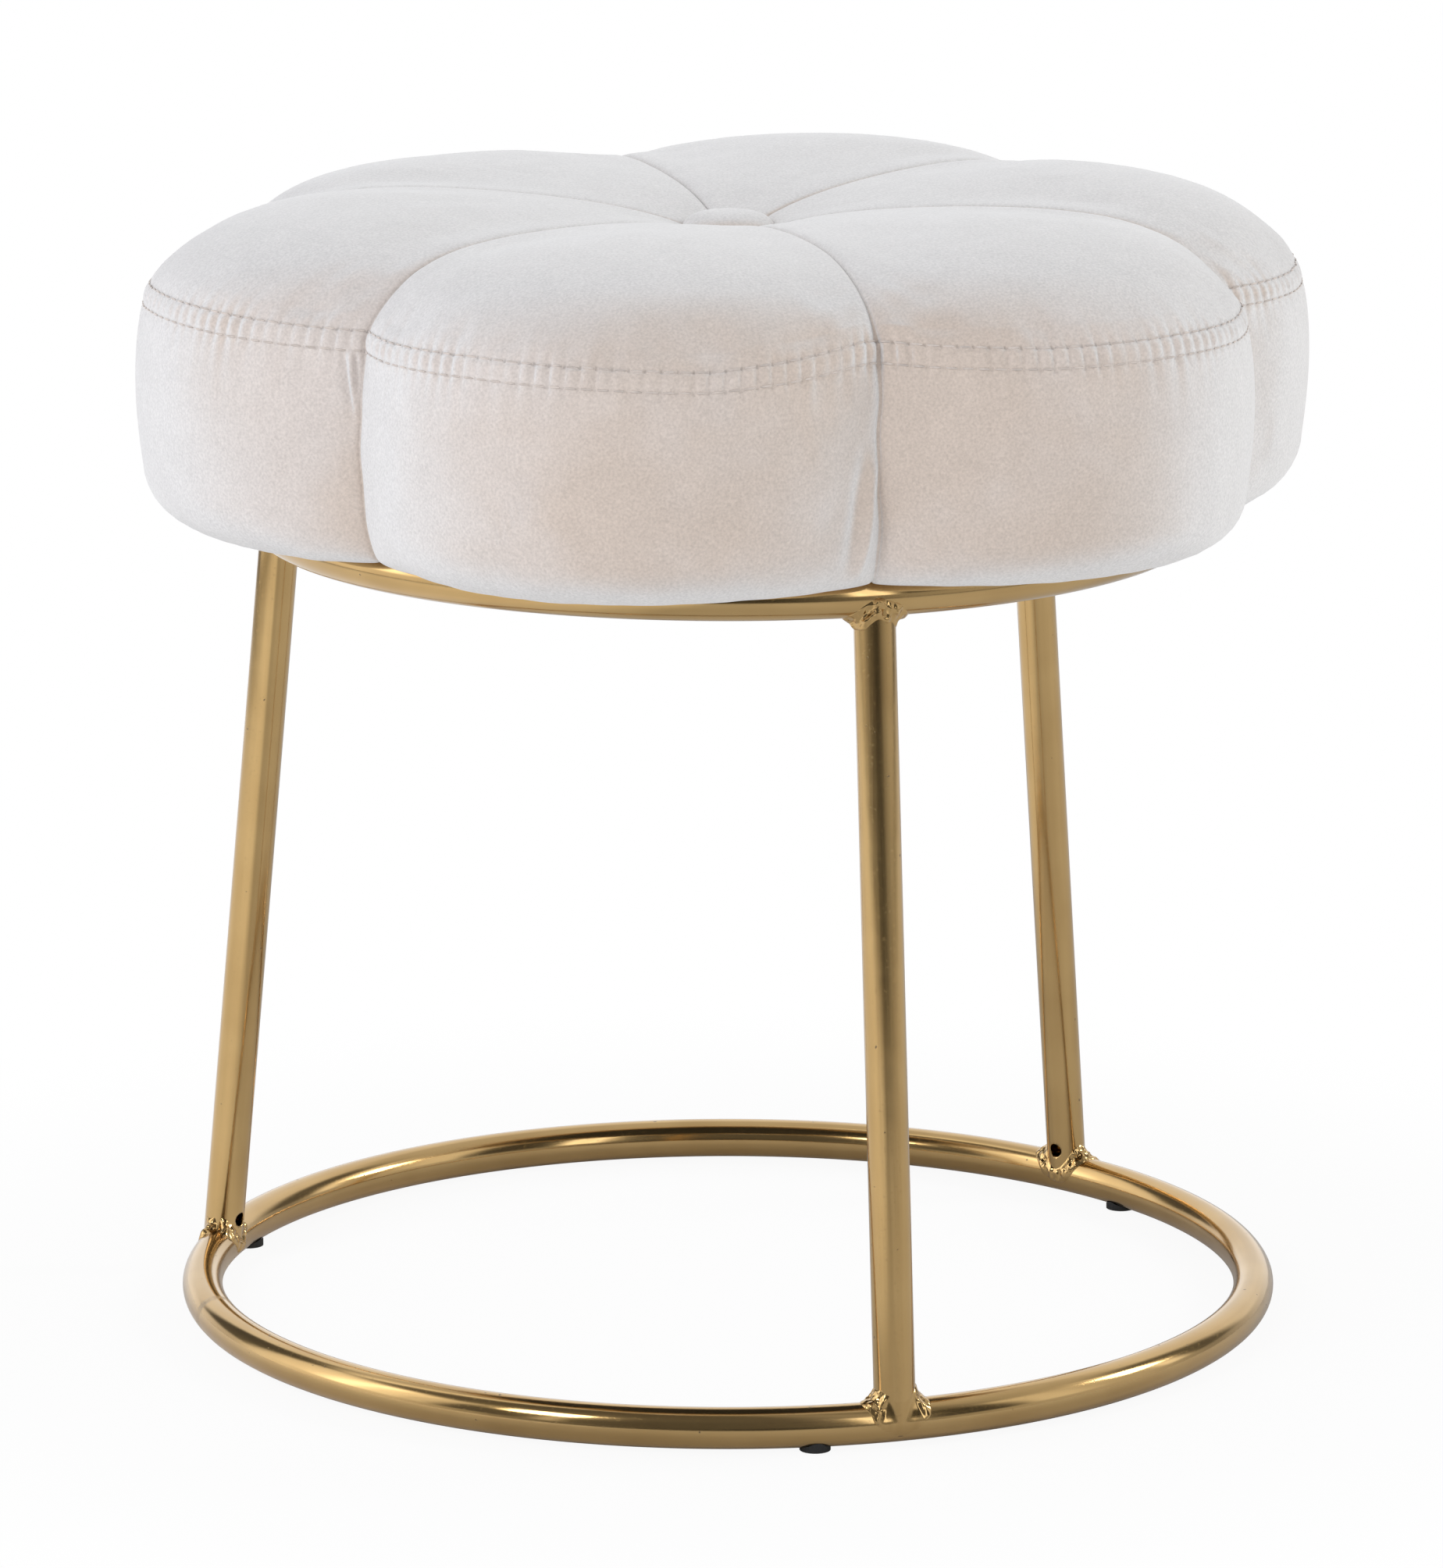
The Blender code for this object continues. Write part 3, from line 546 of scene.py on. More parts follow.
def weld_mesh(leg, degrees, end):
    ring, height, up = RING_OF[end]
    to_world = np.array(leg_matrix(degrees))
    round_axis = np.array(Matrix.Rotation(math.radians(degrees), 3, "Z"))
    bead = spun_circle(WELD_SIDES, 0.5, WELD_STEPS, 2)
    flat = np.array([vertex.co for vertex in bead.verts])
    turn = np.arctan2(flat[:, 0], flat[:, 1])
    across = np.arctan2(flat[:, 2], np.hypot(flat[:, 0], flat[:, 1]) - 2) / math.pi
    side, along, share = np.sin(turn), np.cos(turn), np.abs(across)
    uneven = noise_at(np.stack([side, along, 0 * side + 0.03 * degrees + 2.4 * up], 1), 1.7)
    ground = np.clip((side + 0.08 * along - GROUND_FROM) / GROUND_FADE, 0, 1) * (end == "foot")
    ground = ground * ground * (3 - 2 * ground)
    on_leg = round_the_joint(WELD_UP_LEG[end], turn) * (1 + UNEVEN * uneven * (1 - ground))
    on_ring = round_the_joint(WELD_ON_RING[end], turn) * (1 - UNEVEN * uneven * (1 - ground))
    climb = np.hypot(TUBE_RADIUS * along, CROTCH_ROUNDED) + on_leg
    level = climb if up > 0 else leg_length - climb
    on_tube = np.stack([TUBE_RADIUS * side, TUBE_RADIUS * along, level], 1)
    on_tube = on_tube @ to_world[:3, :3].T + to_world[:3, 3]
    lie = np.arcsin(SADDLE_ROUNDED * side) + on_ring / TUBE_RADIUS * side + up * lean
    drift = (TUBE_RADIUS + on_ring) * along / ring
    rise = height + up * TUBE_RADIUS * np.cos(lie)
    on_ring_tube = polar(ring + TUBE_RADIUS * np.sin(lie), drift, rise) @ round_axis.T
    size = (on_leg + on_ring) / 2
    points = on_ring_tube + (on_tube - on_ring_tube) * share[:, None]
    for _ in range(8):
        gap, out = joined(points, degrees, end, size + (GROUND_BLEND - size) * ground)
        points -= gap * out / (out**2).sum(1, keepdims=True)
    out = out / np.linalg.norm(out, axis=1, keepdims=True)
    window = np.maximum(np.sin(math.pi * share), 0) ** 0.7
    proud = BEAD_HEIGHT
    for lump, scale in LUMPS:
        proud += lump * noise_at(points, scale)
    proud += RIPPLE * np.sin(RIPPLES * turn + 4 * uneven)
    for degrees_round, share_up, wide, deep, lift in WELD_MARKS.get((leg, end), []):
        off = (np.degrees(turn) - degrees_round + 180) % 360 - 180
        proud += lift * np.exp(-((off / wide) ** 2) - ((share - share_up) / deep) ** 2)
    rough = (proud + BEAD_SUNK) * window - BEAD_SUNK
    smooth = (GROUND_PROUD + GROUND_SUNK) * window - GROUND_SUNK
    surface = rough + (smooth - rough) * ground
    root = -BEAD_SUNK - ROOT_DEPTH * window
    points += out * np.where(across >= 0, surface, root)[:, None]
    for vertex, place in zip(bead.verts, points):
        vertex.co = place
    mesh = mesh_of(f"{leg}_{end}_weld", bead)
    lay_grain(mesh)
    return mesh


for name, degrees in LEG_ANGLES.items():
    for end in RING_OF:
        bead = weld_mesh(name, degrees, end)
        finished(f"{name}_{end}_weld", bead, plated_tube, slot="plated_tube")


# Floor glides: black rubber pads, moulded with a hollow that fits the tube and a stem above it.
# The stem is pushed into a hole in the underside of the base ring.
def plain_finish(name, colour, roughness, metallic=0.0, sheen=0.0, grain=300, depth=0.0001):
    """A plain material that is never quite even: fine grain, and slow changes in its tone."""
    material, shade = new_material(name)
    place = shade.node("TexCoord", output="Object")
    fine, worn = place.noise(grain, 4), place.noise(grain / 12, 3)
    dark = tuple(0.75 * part for part in colour)
    tone = worn.step(0.3, 0.7).mix((*dark, 1), (*colour, 1))
    settings = {"Metallic": metallic, "Sheen Weight": sheen}
    return surfaced(material, settings, tone, fine * 0.2 + (roughness - 0.1), fine, 0.4, depth)


def refinish(material, *names):
    """A CAD node keeps its shape and gets the real finish."""
    for name in names:
        nodes[name].data.materials.clear()
        nodes[name].data.materials.append(material)


rubber = plain_finish("black rubber", (0.02, 0.02, 0.02), 0.75)
refinish(rubber, "floor_glide_1", "floor_glide_2", "floor_glide_3")


# Mounting tabs: flat steel, round at the inner end, tacked inside the top ring with a short weld
# on each side and plated with the frame.
TAB_ANGLES = (-30, 90, 210)
TAB_HALF_WIDTH = 0.013
TACK_LENGTH = 0.012
TACK_SIZE = 0.0017
TACK_LUMP = 0.0006
tab_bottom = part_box("mounting_tab_2")[0][2]
plated_plate = plated_finish("plated plate", follows_tube=False)
refinish(plated_plate, "mounting_tab_1", "mounting_tab_2", "mounting_tab_3")
reach = math.sqrt((TUBE_RADIUS + TACK_SIZE / 2) ** 2 - (tab_bottom - top_height) ** 2)
swell = Matrix.Diagonal((TACK_SIZE, TACK_LENGTH / 2, TACK_SIZE, 1))
for count, degrees in enumerate(TAB_ANGLES, 1):
    tacks = bmesh.new()
    turned = Matrix.Rotation(math.radians(degrees), 4, "Z")
    for side in (-1, 1):
        tack = bmesh.ops.create_uvsphere(tacks, u_segments=32, v_segments=16, radius=1)["verts"]
        spot = Matrix.Translation((top_radius - reach, side * TAB_HALF_WIDTH / 2, tab_bottom))
        bmesh.ops.transform(tacks, matrix=turned @ spot @ swell, verts=tack)
        for vertex in tack:
            lump = noise.noise(vertex.co * 450) + 0.5 * noise.noise(vertex.co * 1000)
            vertex.co.z -= TACK_LUMP * lump
    finished(f"tab_weld_{count}", mesh_of("tab_weld", tacks), plated_plate, slot="plated_tube")


# Screws, washers and tee nuts: stock steel parts, zinc plated and a little dull. Each screw goes
# up through a washer and a tab into the tee nut that is pressed into the board.
zinc = plain_finish("zinc plate", (0.60, 0.61, 0.63), 0.38, metallic=1, grain=900, depth=0.00005)
for kind in ("seat_screw", "screw_washer", "tee_nut"):
    refinish(zinc, *(f"{kind}_{count}" for count in (1, 2, 3)))


# Seat board: plywood sawn to the outline of the petals, its plies showing at the edge and its
# grain along X on the faces. The foam sits on it, and the cover is turned under it.
PLY_DARK = (0.42, 0.27, 0.13, 1)
PLY_LIGHT = (0.70, 0.53, 0.32, 1)
plywood, shade = new_material("plywood")
place = shade.node("TexCoord", output="Object")
grain = shade.node("Mapping", inputs={"Vector": place, "Scale": (0.12, 1, 1)}).noise(180, 5)
plies = shade.node("TexWave", {"bands_direction": "Z"}, {"Vector": place, "Scale": 130}, 1)
tone = (grain * 0.6 + plies * 0.4).mix(PLY_DARK, PLY_LIGHT)
refinish(surfaced(plywood, {}, tone, 0.7, grain, 0.3, 0.0003), "seat_board")


# Dust cover: black spun-bonded lining over the cloth's turned edge, held to the board by a ring of
# fine wire staples.
STAPLE_COUNT = 24
STAPLE_RADIUS = 0.1665
STAPLE_WIDTH = 0.0105
STAPLE_WIRE = 0.00045
STAPLE_SIDES = 8
STAPLE_SKEW = 0.16
STAPLE_STRAY = 0.0008
lining = plain_finish("black lining", (0.03, 0.03, 0.032), 0.95, grain=700, depth=0.0002)
refinish(lining, "dust_cover")
staple_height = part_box("dust_cover")[0][2] - STAPLE_WIRE
staples = bmesh.new()
for count in range(STAPLE_COUNT):
    turned = Matrix.Rotation(2 * math.pi * (count + 0.5) / STAPLE_COUNT, 4, "Z")
    reach = STAPLE_RADIUS + STAPLE_STRAY * math.sin(2.1 * count)
    spot = Matrix.Translation((reach, 0, staple_height))
    skew = Matrix.Rotation(STAPLE_SKEW * math.sin(5.3 * count), 4, "Z")
    lie = Matrix.Rotation(math.pi / 2, 4, "X")
    wire = cylinder(
        staples, STAPLE_SIDES, STAPLE_WIRE, STAPLE_WIDTH, turned @ spot @ skew @ lie
    )
    caps = [face for face in staples.faces if len(face.verts) == STAPLE_SIDES]
    edges = [edge for face in caps if face.verts[0] in wire for edge in face.edges]
    bmesh.ops.bevel(
        staples, geom=edges, affect="EDGES", offset=0.0002, segments=2, profile=0.5, material=-1
    )
finished("staples", mesh_of("staples", staples), zinc, slot="zinc_steel")


# Foam core and cover share one form: six lobes round the button, a crown that rises steeply from
# the seam, a side band that bulges, and an edge that tucks under past the top ring.
PETALS = 6
HALF_PETAL = math.pi / PETALS
TIP_RADIUS = 0.2302
NOTCH_RADIUS = 0.1971
SEAM_HEIGHT = 0.4206
UNDERSIDE_HEIGHT = 0.3326
LOW_EDGE_HEIGHT = 0.3271
EDGE_RADIUS = 0.0235
TIP_BULGE = 0.006
NOTCH_BULGE = 0.0046
PETAL_RISE = 0.0322
CHANNEL_RISE = 0.0287
DIMPLE_DEPTH = 0.019
DIMPLE_REACH = 0.036
LOW_NOTCH_RADIUS = 0.1905
LOW_NOTCH_LIFT = 0.0015
REST_RADIUS = 0.1857
TURN_UNDER_RADIUS = 0.165
BUTTON_HOLE_RADIUS = 0.0025
SIDE_DROP = SEAM_HEIGHT - LOW_EDGE_HEIGHT
SIDE_RUN = SIDE_DROP - EDGE_RADIUS
# Exponents: how full a petal is across, how steep and how round its crown is, and how high on the
# side the bulge lies.
PETAL_FULLNESS = 0.8
CROWN_STEEP = 7.7
CROWN_ROUND = 0.89
BULGE_RAISED = 0.76
# The cushion was screwed on a little turned. Its top stands higher at the right than at the left,
# and the seam round it rides up and down at these degrees round the form, by millimetres.
CUSHION_TURN = math.radians(-1.2)
TOP_TILT = 0.008
TILT_TOWARDS = math.radians(-17.7)
SEAM_RIDE = [
    (-180, 1.8), (-172, 1.6), (-163, 0.6), (-152, -0.6), (-144, -1), (-131, 0.2), (-119, -0.8),
    (-108, -2.4), (-100, 0.2), (-92, 4), (-85, 2.4), (-74, 0.6), (-59, 0.3), (-47, -1.2),
    (-30, -0.6), (-15, -2.2), (10, -1), (30, 1.2), (60, -0.8), (90, 2.4), (120, -0.8), (150, 0.2),
    (163, -2.4), (172, 0.4), (180, 1.8),
]
RIDE_REACH = 0.02
# The same for the crown between the seam and the button, and for the lower edge.
CROWN_RIDE = [
    (-180, 0.6), (-150, 0), (35, 0.6), (55, -0.4), (72, -1.6), (94, -2.5), (116, -3.6),
    (132, -1.8), (146, 0.4), (156, 1.8), (168, 1.6), (180, 0.6),
]
LOW_RIDE = [
    (-180, 0), (-158, -0.3), (-150, 1), (-142, 1.6), (-134, -0.3), (-124, -0.9), (-114, 0),
    (-104, 1.2), (-90, 2.4), (-79, 1.6), (-70, 0.8), (-56, 0), (180, 0),
]


def seam_radius(turn):
    """Radius of the seam round the top, for an angle from the middle of a petal."""
    spare = TIP_RADIUS - NOTCH_RADIUS * math.cos(HALF_PETAL)
    centre = (TIP_RADIUS**2 - NOTCH_RADIUS**2) / (2 * spare)
    lobe = TIP_RADIUS - centre
    return centre * np.cos(turn) + np.sqrt(lobe**2 - (centre * np.sin(turn)) ** 2)


turns = np.linspace(-HALF_PETAL, HALF_PETAL, 2001)
rim = np.stack([seam_radius(turns) * np.cos(turns), seam_radius(turns) * np.sin(turns)])
rim_run = np.concatenate([[0], np.cumsum(np.hypot(*np.diff(rim)))])
PETAL_LENGTH = rim_run[-1]
PERIMETER = PETALS * PETAL_LENGTH


def turn_at(shares):
    """The angle from a petal's middle, for shares of the rim that start at a notch."""
    return np.interp((shares * PETALS) % 1 * PETAL_LENGTH, rim_run, turns)


def petal_angle(shares):
    """The angle round the form, for shares of the rim."""
    return turn_at(shares) + 2 * HALF_PETAL * np.floor(shares * PETALS)


def from_radial_seams(form, round_shares):
    """Distance of each point from the nearest seam between two petals."""
    off_seam = HALF_PETAL - np.abs(turn_at(round_shares))
    return np.hypot(form[..., 0], form[..., 1]) * np.sin(off_seam)


def smoothed(rows):
    """Each value eased towards its neighbours round the form."""
    return (np.roll(rows, 1, 1) + 2 * rows + np.roll(rows, -1, 1)) / 4


def cushion_form(shares, paths):
    """Points of the form, a row for each path and a column for each share of the rim. A path runs
    0 to 1 from the button to the seam, to 2 down the side, to 3 round the lower edge, to 4 in to
    the ring, and to 5 in to the edge of the cloth."""
    turn = turn_at(shares)[None, :]
    angle = petal_angle(shares)[None, :]
    path = np.asarray(paths, float)[:, None]
    reach, down, edge, inward, under = (np.clip(path - start, 0, 1) for start in range(5))
    seam = seam_radius(turn)
    swell = np.clip(1 - (turn / HALF_PETAL) ** 2, 0, 1) ** PETAL_FULLNESS
    radius = BUTTON_HOLE_RADIUS + reach * (seam - BUTTON_HOLE_RADIUS)
    rise = CHANNEL_RISE + (PETAL_RISE - CHANNEL_RISE) * swell * np.clip(reach / 0.6, 0, 1)
    height = SEAM_HEIGHT + rise * (1 - reach**CROWN_STEEP) ** CROWN_ROUND
    height -= DIMPLE_DEPTH * np.exp(-radius / DIMPLE_REACH) * (reach < 1)
    share = down * (SIDE_RUN / SIDE_DROP)
    bulge = NOTCH_BULGE + (TIP_BULGE - NOTCH_BULGE) * swell
    side = seam + bulge * np.sin(math.pi * share**BULGE_RAISED)
    along = (seam - NOTCH_RADIUS) / (TIP_RADIUS - NOTCH_RADIUS)
    low = LOW_NOTCH_RADIUS + along * (TIP_RADIUS - EDGE_RADIUS - LOW_NOTCH_RADIUS)
    low_edge = LOW_EDGE_HEIGHT + LOW_NOTCH_LIFT * (1 - along)
    corner = edge * math.pi / 2
    past = [path > 4, path > 3, path > 2, path > 1]
    radius = np.select(past, [
        REST_RADIUS + (TURN_UNDER_RADIUS - REST_RADIUS) * under,
        low + (REST_RADIUS - low) * inward, low + (side - low) * np.cos(corner), side,
    ], radius)
    height = np.select(past, [
        UNDERSIDE_HEIGHT, low_edge + (UNDERSIDE_HEIGHT - low_edge) * inward,
        low_edge + (LOW_EDGE_HEIGHT + EDGE_RADIUS - low_edge) * (1 - np.sin(corner)),
        SEAM_HEIGHT - SIDE_DROP * share,
    ], height)
    tilt = TOP_TILT * radius * np.cos(angle - TILT_TOWARDS)
    height += tilt * np.clip(1 - reach**3, 0, 1)
    from_seam = np.where(path > 1, (path - 1) * SIDE_RUN, (1 - path) * seam)
    for rides, near in (
        (SEAM_RIDE, np.exp(-((from_seam / RIDE_REACH) ** 2))),
        (CROWN_RIDE, np.sin(math.pi * reach**1.7)),
        (LOW_RIDE, np.clip(1 - np.abs(path - 2.5) / 1.2, 0, 1) ** 0.7),
    ):
        ride = np.interp(np.degrees(angle + math.pi) % 360 - 180, *zip(*rides))
        for _ in range(max(1, shares.size // 150)):
            ride = smoothed(ride)
        height += 0.001 * ride * near
    return polar(radius, angle + CUSHION_TURN, height)


def outward_normals(grid):
    """Normals of a closed band of points, from its neighbours round it and down it."""
    across = np.roll(grid, -1, 1) - np.roll(grid, 1, 1)
    normal = np.cross(np.gradient(grid, axis=0), across)
    return normal / np.linalg.norm(normal, axis=2, keepdims=True)


def band_mesh(name, grid, close):
    """A closed band of faces through the points of a grid, its two rims bridged if close."""
    rows, columns = grid.shape[0] - 1, grid.shape[1]
    band = bmesh.new()
    bmesh.ops.create_grid(band, x_segments=columns, y_segments=rows, size=1)
    column_of = band.verts.layers.int.new("column")
    row_of = band.verts.layers.int.new("row")
    for vertex in band.verts:
        column = round((vertex.co.x + 1) / 2 * columns) % columns
        row = round((1 - vertex.co.y) / 2 * rows)
        vertex[column_of] = column
        vertex[row_of] = row
        angle = 2 * math.pi * column / columns
        vertex.co = ((1 + row) * math.cos(angle), (1 + row) * math.sin(angle), 0)
    bmesh.ops.remove_doubles(band, verts=band.verts, dist=0.0001)
    columns_of_points = [vertex[column_of] for vertex in band.verts]
    rows_of_points = [vertex[row_of] for vertex in band.verts]
    if close:
        bmesh.ops.bridge_loops(band, edges=[edge for edge in band.edges if edge.is_boundary])
    for vertex, place in zip(band.verts, grid[rows_of_points, columns_of_points]):
        vertex.co = place
    mesh = mesh_of(name, band)
    return mesh, rows_of_points, columns_of_points


FOAM_INSET = 0.0045
FOAM_CREASE = 0.0030
CREASE_REACH = 0.006
FOAM_COLUMNS = 180
BOARD_INSET = 0.022
FOAM_FIT = 0.0003
FOAM_PATHS = [0.01, 0.06, 0.13, 0.22, 0.34, 0.48, 0.62, 0.74, 0.83, 0.9, 0.95, 0.98, 1]
FOAM_PATHS += [1.1, 1.25, 1.45, 1.7, 2, 2.2, 2.4, 2.6, 2.8, 3, 3.5, 4]
board_low, board_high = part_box("seat_board")
foam_shares = np.arange(FOAM_COLUMNS) / FOAM_COLUMNS
skin = cushion_form(foam_shares, FOAM_PATHS)
crease = np.exp(-from_radial_seams(skin, foam_shares) / CREASE_REACH)
skin = skin - outward_normals(skin) * (FOAM_INSET + FOAM_CREASE * crease)[..., None]
skin[-2:, :, 2] = np.maximum(skin[-2:, :, 2], board_low[2])
pocket = seam_radius(turn_at(foam_shares)) - BOARD_INSET + FOAM_FIT
hole = np.full(FOAM_COLUMNS, BUTTON_HOLE_RADIUS)
roof = board_high[2] + FOAM_FIT
walls = np.stack([
    polar(reach, petal_angle(foam_shares), 0 * reach + level)
    for reach, level in ((pocket, board_low[2]), (pocket, roof), (hole, roof))
])
foam_mesh = band_mesh("foam", np.concatenate([skin, walls]), close=True)[0]
foam_finish = plain_finish("seat foam", (0.86, 0.80, 0.52), 0.95, grain=900, depth=0.0004)
foam = finished("foam", foam_mesh, foam_finish, "foam_core", slot="seat_foam")


# Seat cover: cream velvet, six top panels sewn to a side band that has a seam in each notch. The
# top seam is turned down and stitched twice, and the lower edge goes round under the board.
STITCHES = 240
STITCH_PITCH = PERIMETER / STITCHES
SECOND_ROW = 0.0076
CLOTH = 0.0015
COLUMNS_PER_PETAL = 280
CROWD, CROWD_REACH = 5, 0.014
INNER_STEP = 6


def crowded_shares():
    """Shares of the rim for the columns of the cloth, crowded where the lobes meet."""
    fine = np.linspace(0, 1, 4001)
    crowd = 1 + CROWD * np.exp(-np.minimum(fine, 1 - fine) / CROWD_REACH)
    count = np.concatenate([[0], np.cumsum(crowd[:-1])])
    one = np.interp(np.arange(COLUMNS_PER_PETAL) / COLUMNS_PER_PETAL, count / count[-1], fine)
    return np.concatenate([(petal + one) / PETALS for petal in range(PETALS)])


def steps(start, end, count):
    return np.linspace(start, end, count, endpoint=False)


shares = crowded_shares()
paths = np.concatenate([
    steps(0, 0.12, 7), steps(0.12, 0.86, 20), steps(0.86, 0.972, 8), steps(0.972, 1, 9),
    1 + steps(0, SECOND_ROW, 11) / SIDE_RUN, 1 + steps(SECOND_ROW, 0.012, 6) / SIDE_RUN,
    1 + steps(0.012, SIDE_RUN, 16) / SIDE_RUN, steps(2, 3, 9), steps(3, 4, 4),
    np.linspace(4, 5, 3),
])
first_row = int(np.argmin(np.abs(paths - 1)))
second_row = int(np.argmin(np.abs(paths - 1 - SECOND_ROW / SIDE_RUN)))

# Sewn with more cloth than its outline, the cover wrinkles as the foam fills it. That is a cloth
# simulation on a coarse copy, held at the button, along the seams and under the board. Each row's
# mean swelling is taken off again, so that the cushion keeps its measured outline.
SIM_COLUMNS = 240
SIM_PATHS = np.concatenate([
    steps(0.02, 0.9, 15), steps(0.9, 1, 4), steps(1, 1.11, 3), steps(1.11, 2, 9), steps(2, 3, 6),
    np.linspace(3, 5, 4),
])
SIM_FRAMES = 20
SPARE_CLOTH = 0.02
MOST_MOVE = 0.004
SWELLING_KEPT = 0.8
SLACK = 0.0015
SEAM_HOLD = 0.015
CLOTH_SETTINGS = {
    "quality": 6, "mass": 0.3, "tension_stiffness": 25, "compression_stiffness": 25,
    "shear_stiffness": 8, "bending_stiffness": 0.8, "vertex_group_mass": "held",
    "pin_stiffness": 1, "shrink_min": -SPARE_CLOTH, "use_pressure": True,
    "uniform_pressure_force": 4,
}


def simulated_moves():
    """How far each point of the coarse copy moves from the form."""
    round_shares = np.arange(SIM_COLUMNS) / SIM_COLUMNS
    form = cushion_form(round_shares, SIM_PATHS)
    free = 1 - np.exp(-((from_radial_seams(form, round_shares) / SEAM_HOLD) ** 2))
    loose = (np.abs(SIM_PATHS - 1.05) > 0.07) & (SIM_PATHS < 3) & (SIM_PATHS > 0.08)
    free = free * loose[:, None]
    slack = form - outward_normals(form) * (SLACK * free)[..., None]
    mesh, row, column = band_mesh("loose cloth", slack, close=False)
    cloth = added("loose cloth", mesh)
    held = cloth.vertex_groups.new(name="held")
    for index, grip in enumerate((1 - 0.92 * free)[row, column]):
        held.add([index], float(grip), "REPLACE")
    drape = cloth.modifiers.new("cloth", "CLOTH")
    for name, setting in CLOTH_SETTINGS.items():
        setattr(drape.settings, name, setting)
    drape.settings.effector_weights.gravity = 0
    drape.collision_settings.use_collision = False
    drape.point_cache.frame_start = 1
    drape.point_cache.frame_end = SIM_FRAMES
    for number in range(1, SIM_FRAMES + 1):
        scene.frame_set(number)
    filled = cloth.evaluated_get(bpy.context.evaluated_depsgraph_get()).data
    points = np.empty(3 * len(filled.vertices), np.float32)
    filled.vertices.foreach_get("co", points)
    moved = np.zeros_like(form)
    moved[row, column] = points.reshape(-1, 3)
    moved = moved - form
    bpy.data.objects.remove(cloth)
    scene.frame_set(1)
    length = np.linalg.norm(moved, axis=2, keepdims=True)
    moved = moved * np.minimum(1, MOST_MOVE / np.maximum(length, 1e-9))
    outwards = outward_normals(form)
    usual = ((moved * outwards).sum(2) * free).sum(1) / np.maximum(free.sum(1), 1e-9)
    moved = moved - outwards * (usual[:, None] * free)[..., None]
    kept = SWELLING_KEPT * (1 - 0.7 * np.clip((SIM_PATHS - 1.5) / 0.7, 0, 1))
    return moved * (free > 0)[..., None] * kept[:, None, None]


def spread_moves(moves):
    """The coarse moves carried over to the fine grid, and smoothed between its points."""
    down = np.interp(paths, SIM_PATHS, np.arange(len(SIM_PATHS)))
    low = np.minimum(down.astype(int), len(SIM_PATHS) - 2)
    part = (down - low)[:, None, None]
    rows = moves[low] * (1 - part) + moves[low + 1] * part
    across = shares * SIM_COLUMNS
    left = np.floor(across).astype(int)
    part = (across - left)[None, :, None]
    spread = rows[:, left % SIM_COLUMNS] * (1 - part) + rows[:, (left + 1) % SIM_COLUMNS] * part
    for _ in range(8):
        spread = smoothed(spread)
    for _ in range(3):
        spread[1:-1] = (spread[:-2] + 2 * spread[1:-1] + spread[2:]) / 4
    return spread


def hump(distance, height, width):
    return height * np.exp(-((distance / width) ** 2))


def after(distance, height, reach):
    """The height at the start, fading beyond it, and nothing before it."""
    return np.where(distance >= 0, height * np.exp(-np.maximum(distance, 0) / reach), 0)


WAVES = 16


def uneven_wave(lengths, seed):
    """A wavy line round the rim, of waves between two lengths, closing on itself."""
    draw = np.random.default_rng(seed)
    wave = 0 * shares
    for _ in range(WAVES):
        turns_round = round(PERIMETER / draw.uniform(*lengths))
        phase = turns_round * shares + draw.random()
        wave += math.sqrt(2 / WAVES) * np.sin(2 * math.pi * phase)
    return wave


# Folds where the side band is caught in a notch seam: the notch, the side of it, the height it
# starts at, its length down, its distance from the seam at top and foot, its width and its rise.
FOLDS = (
    (5, -1, 0.379, 0.046, 0.0022, 0.0098, 0.0030, 0.0021),
    (5, -1, 0.386, 0.050, 0.0066, 0.0160, 0.0036, -0.0012),
    (4, -1, 0.413, 0.026, 0.0084, 0.0024, 0.0013, -0.0018),
    (4, -1, 0.413, 0.026, 0.0058, 0.0012, 0.0013, 0.0011),
    (4, -1, 0.413, 0.018, 0.0036, 0.0008, 0.0009, -0.0013),
    (0, 1, 0.410, 0.040, 0.0060, 0.0020, 0.0022, 0.0009),
    (2, -1, 0.405, 0.035, 0.0070, 0.0020, 0.0018, 0.0009),
    (3, 1, 0.395, 0.045, 0.0020, 0.0090, 0.0026, 0.0010),
)
# A faint crease across the petal left of the front leg: places round the rim, and heights.
CREASE_FROM = (4.455, 0.3771)
CREASE_TO = (4.345, 0.3490)
# How far the sewing moves the cloth, each with how far that reaches, in metres.
SEAM_FURROWS = ((0.0008, 0.0007), (0.0004, 0.0040))
FIRST_FURROW, SECOND_FURROW, ROLL = (0.00032, 0.0010), (0.00030, 0.0010), (0.00035, 0.0026)
RIB_RISE, RIB_DEPTH, RIB_REACH = 0.00034, 0.00094, 0.0037
PULL_BELOW, PULL_ABOVE = (0.00045, 0.0040), (0.00030, 0.0030)
WAVE_BELOW, WAVE_ABOVE = (0.00016, 0.0090), (0.00012, 0.0080)
FINE_CREASE = (0.00045, 0.0008)


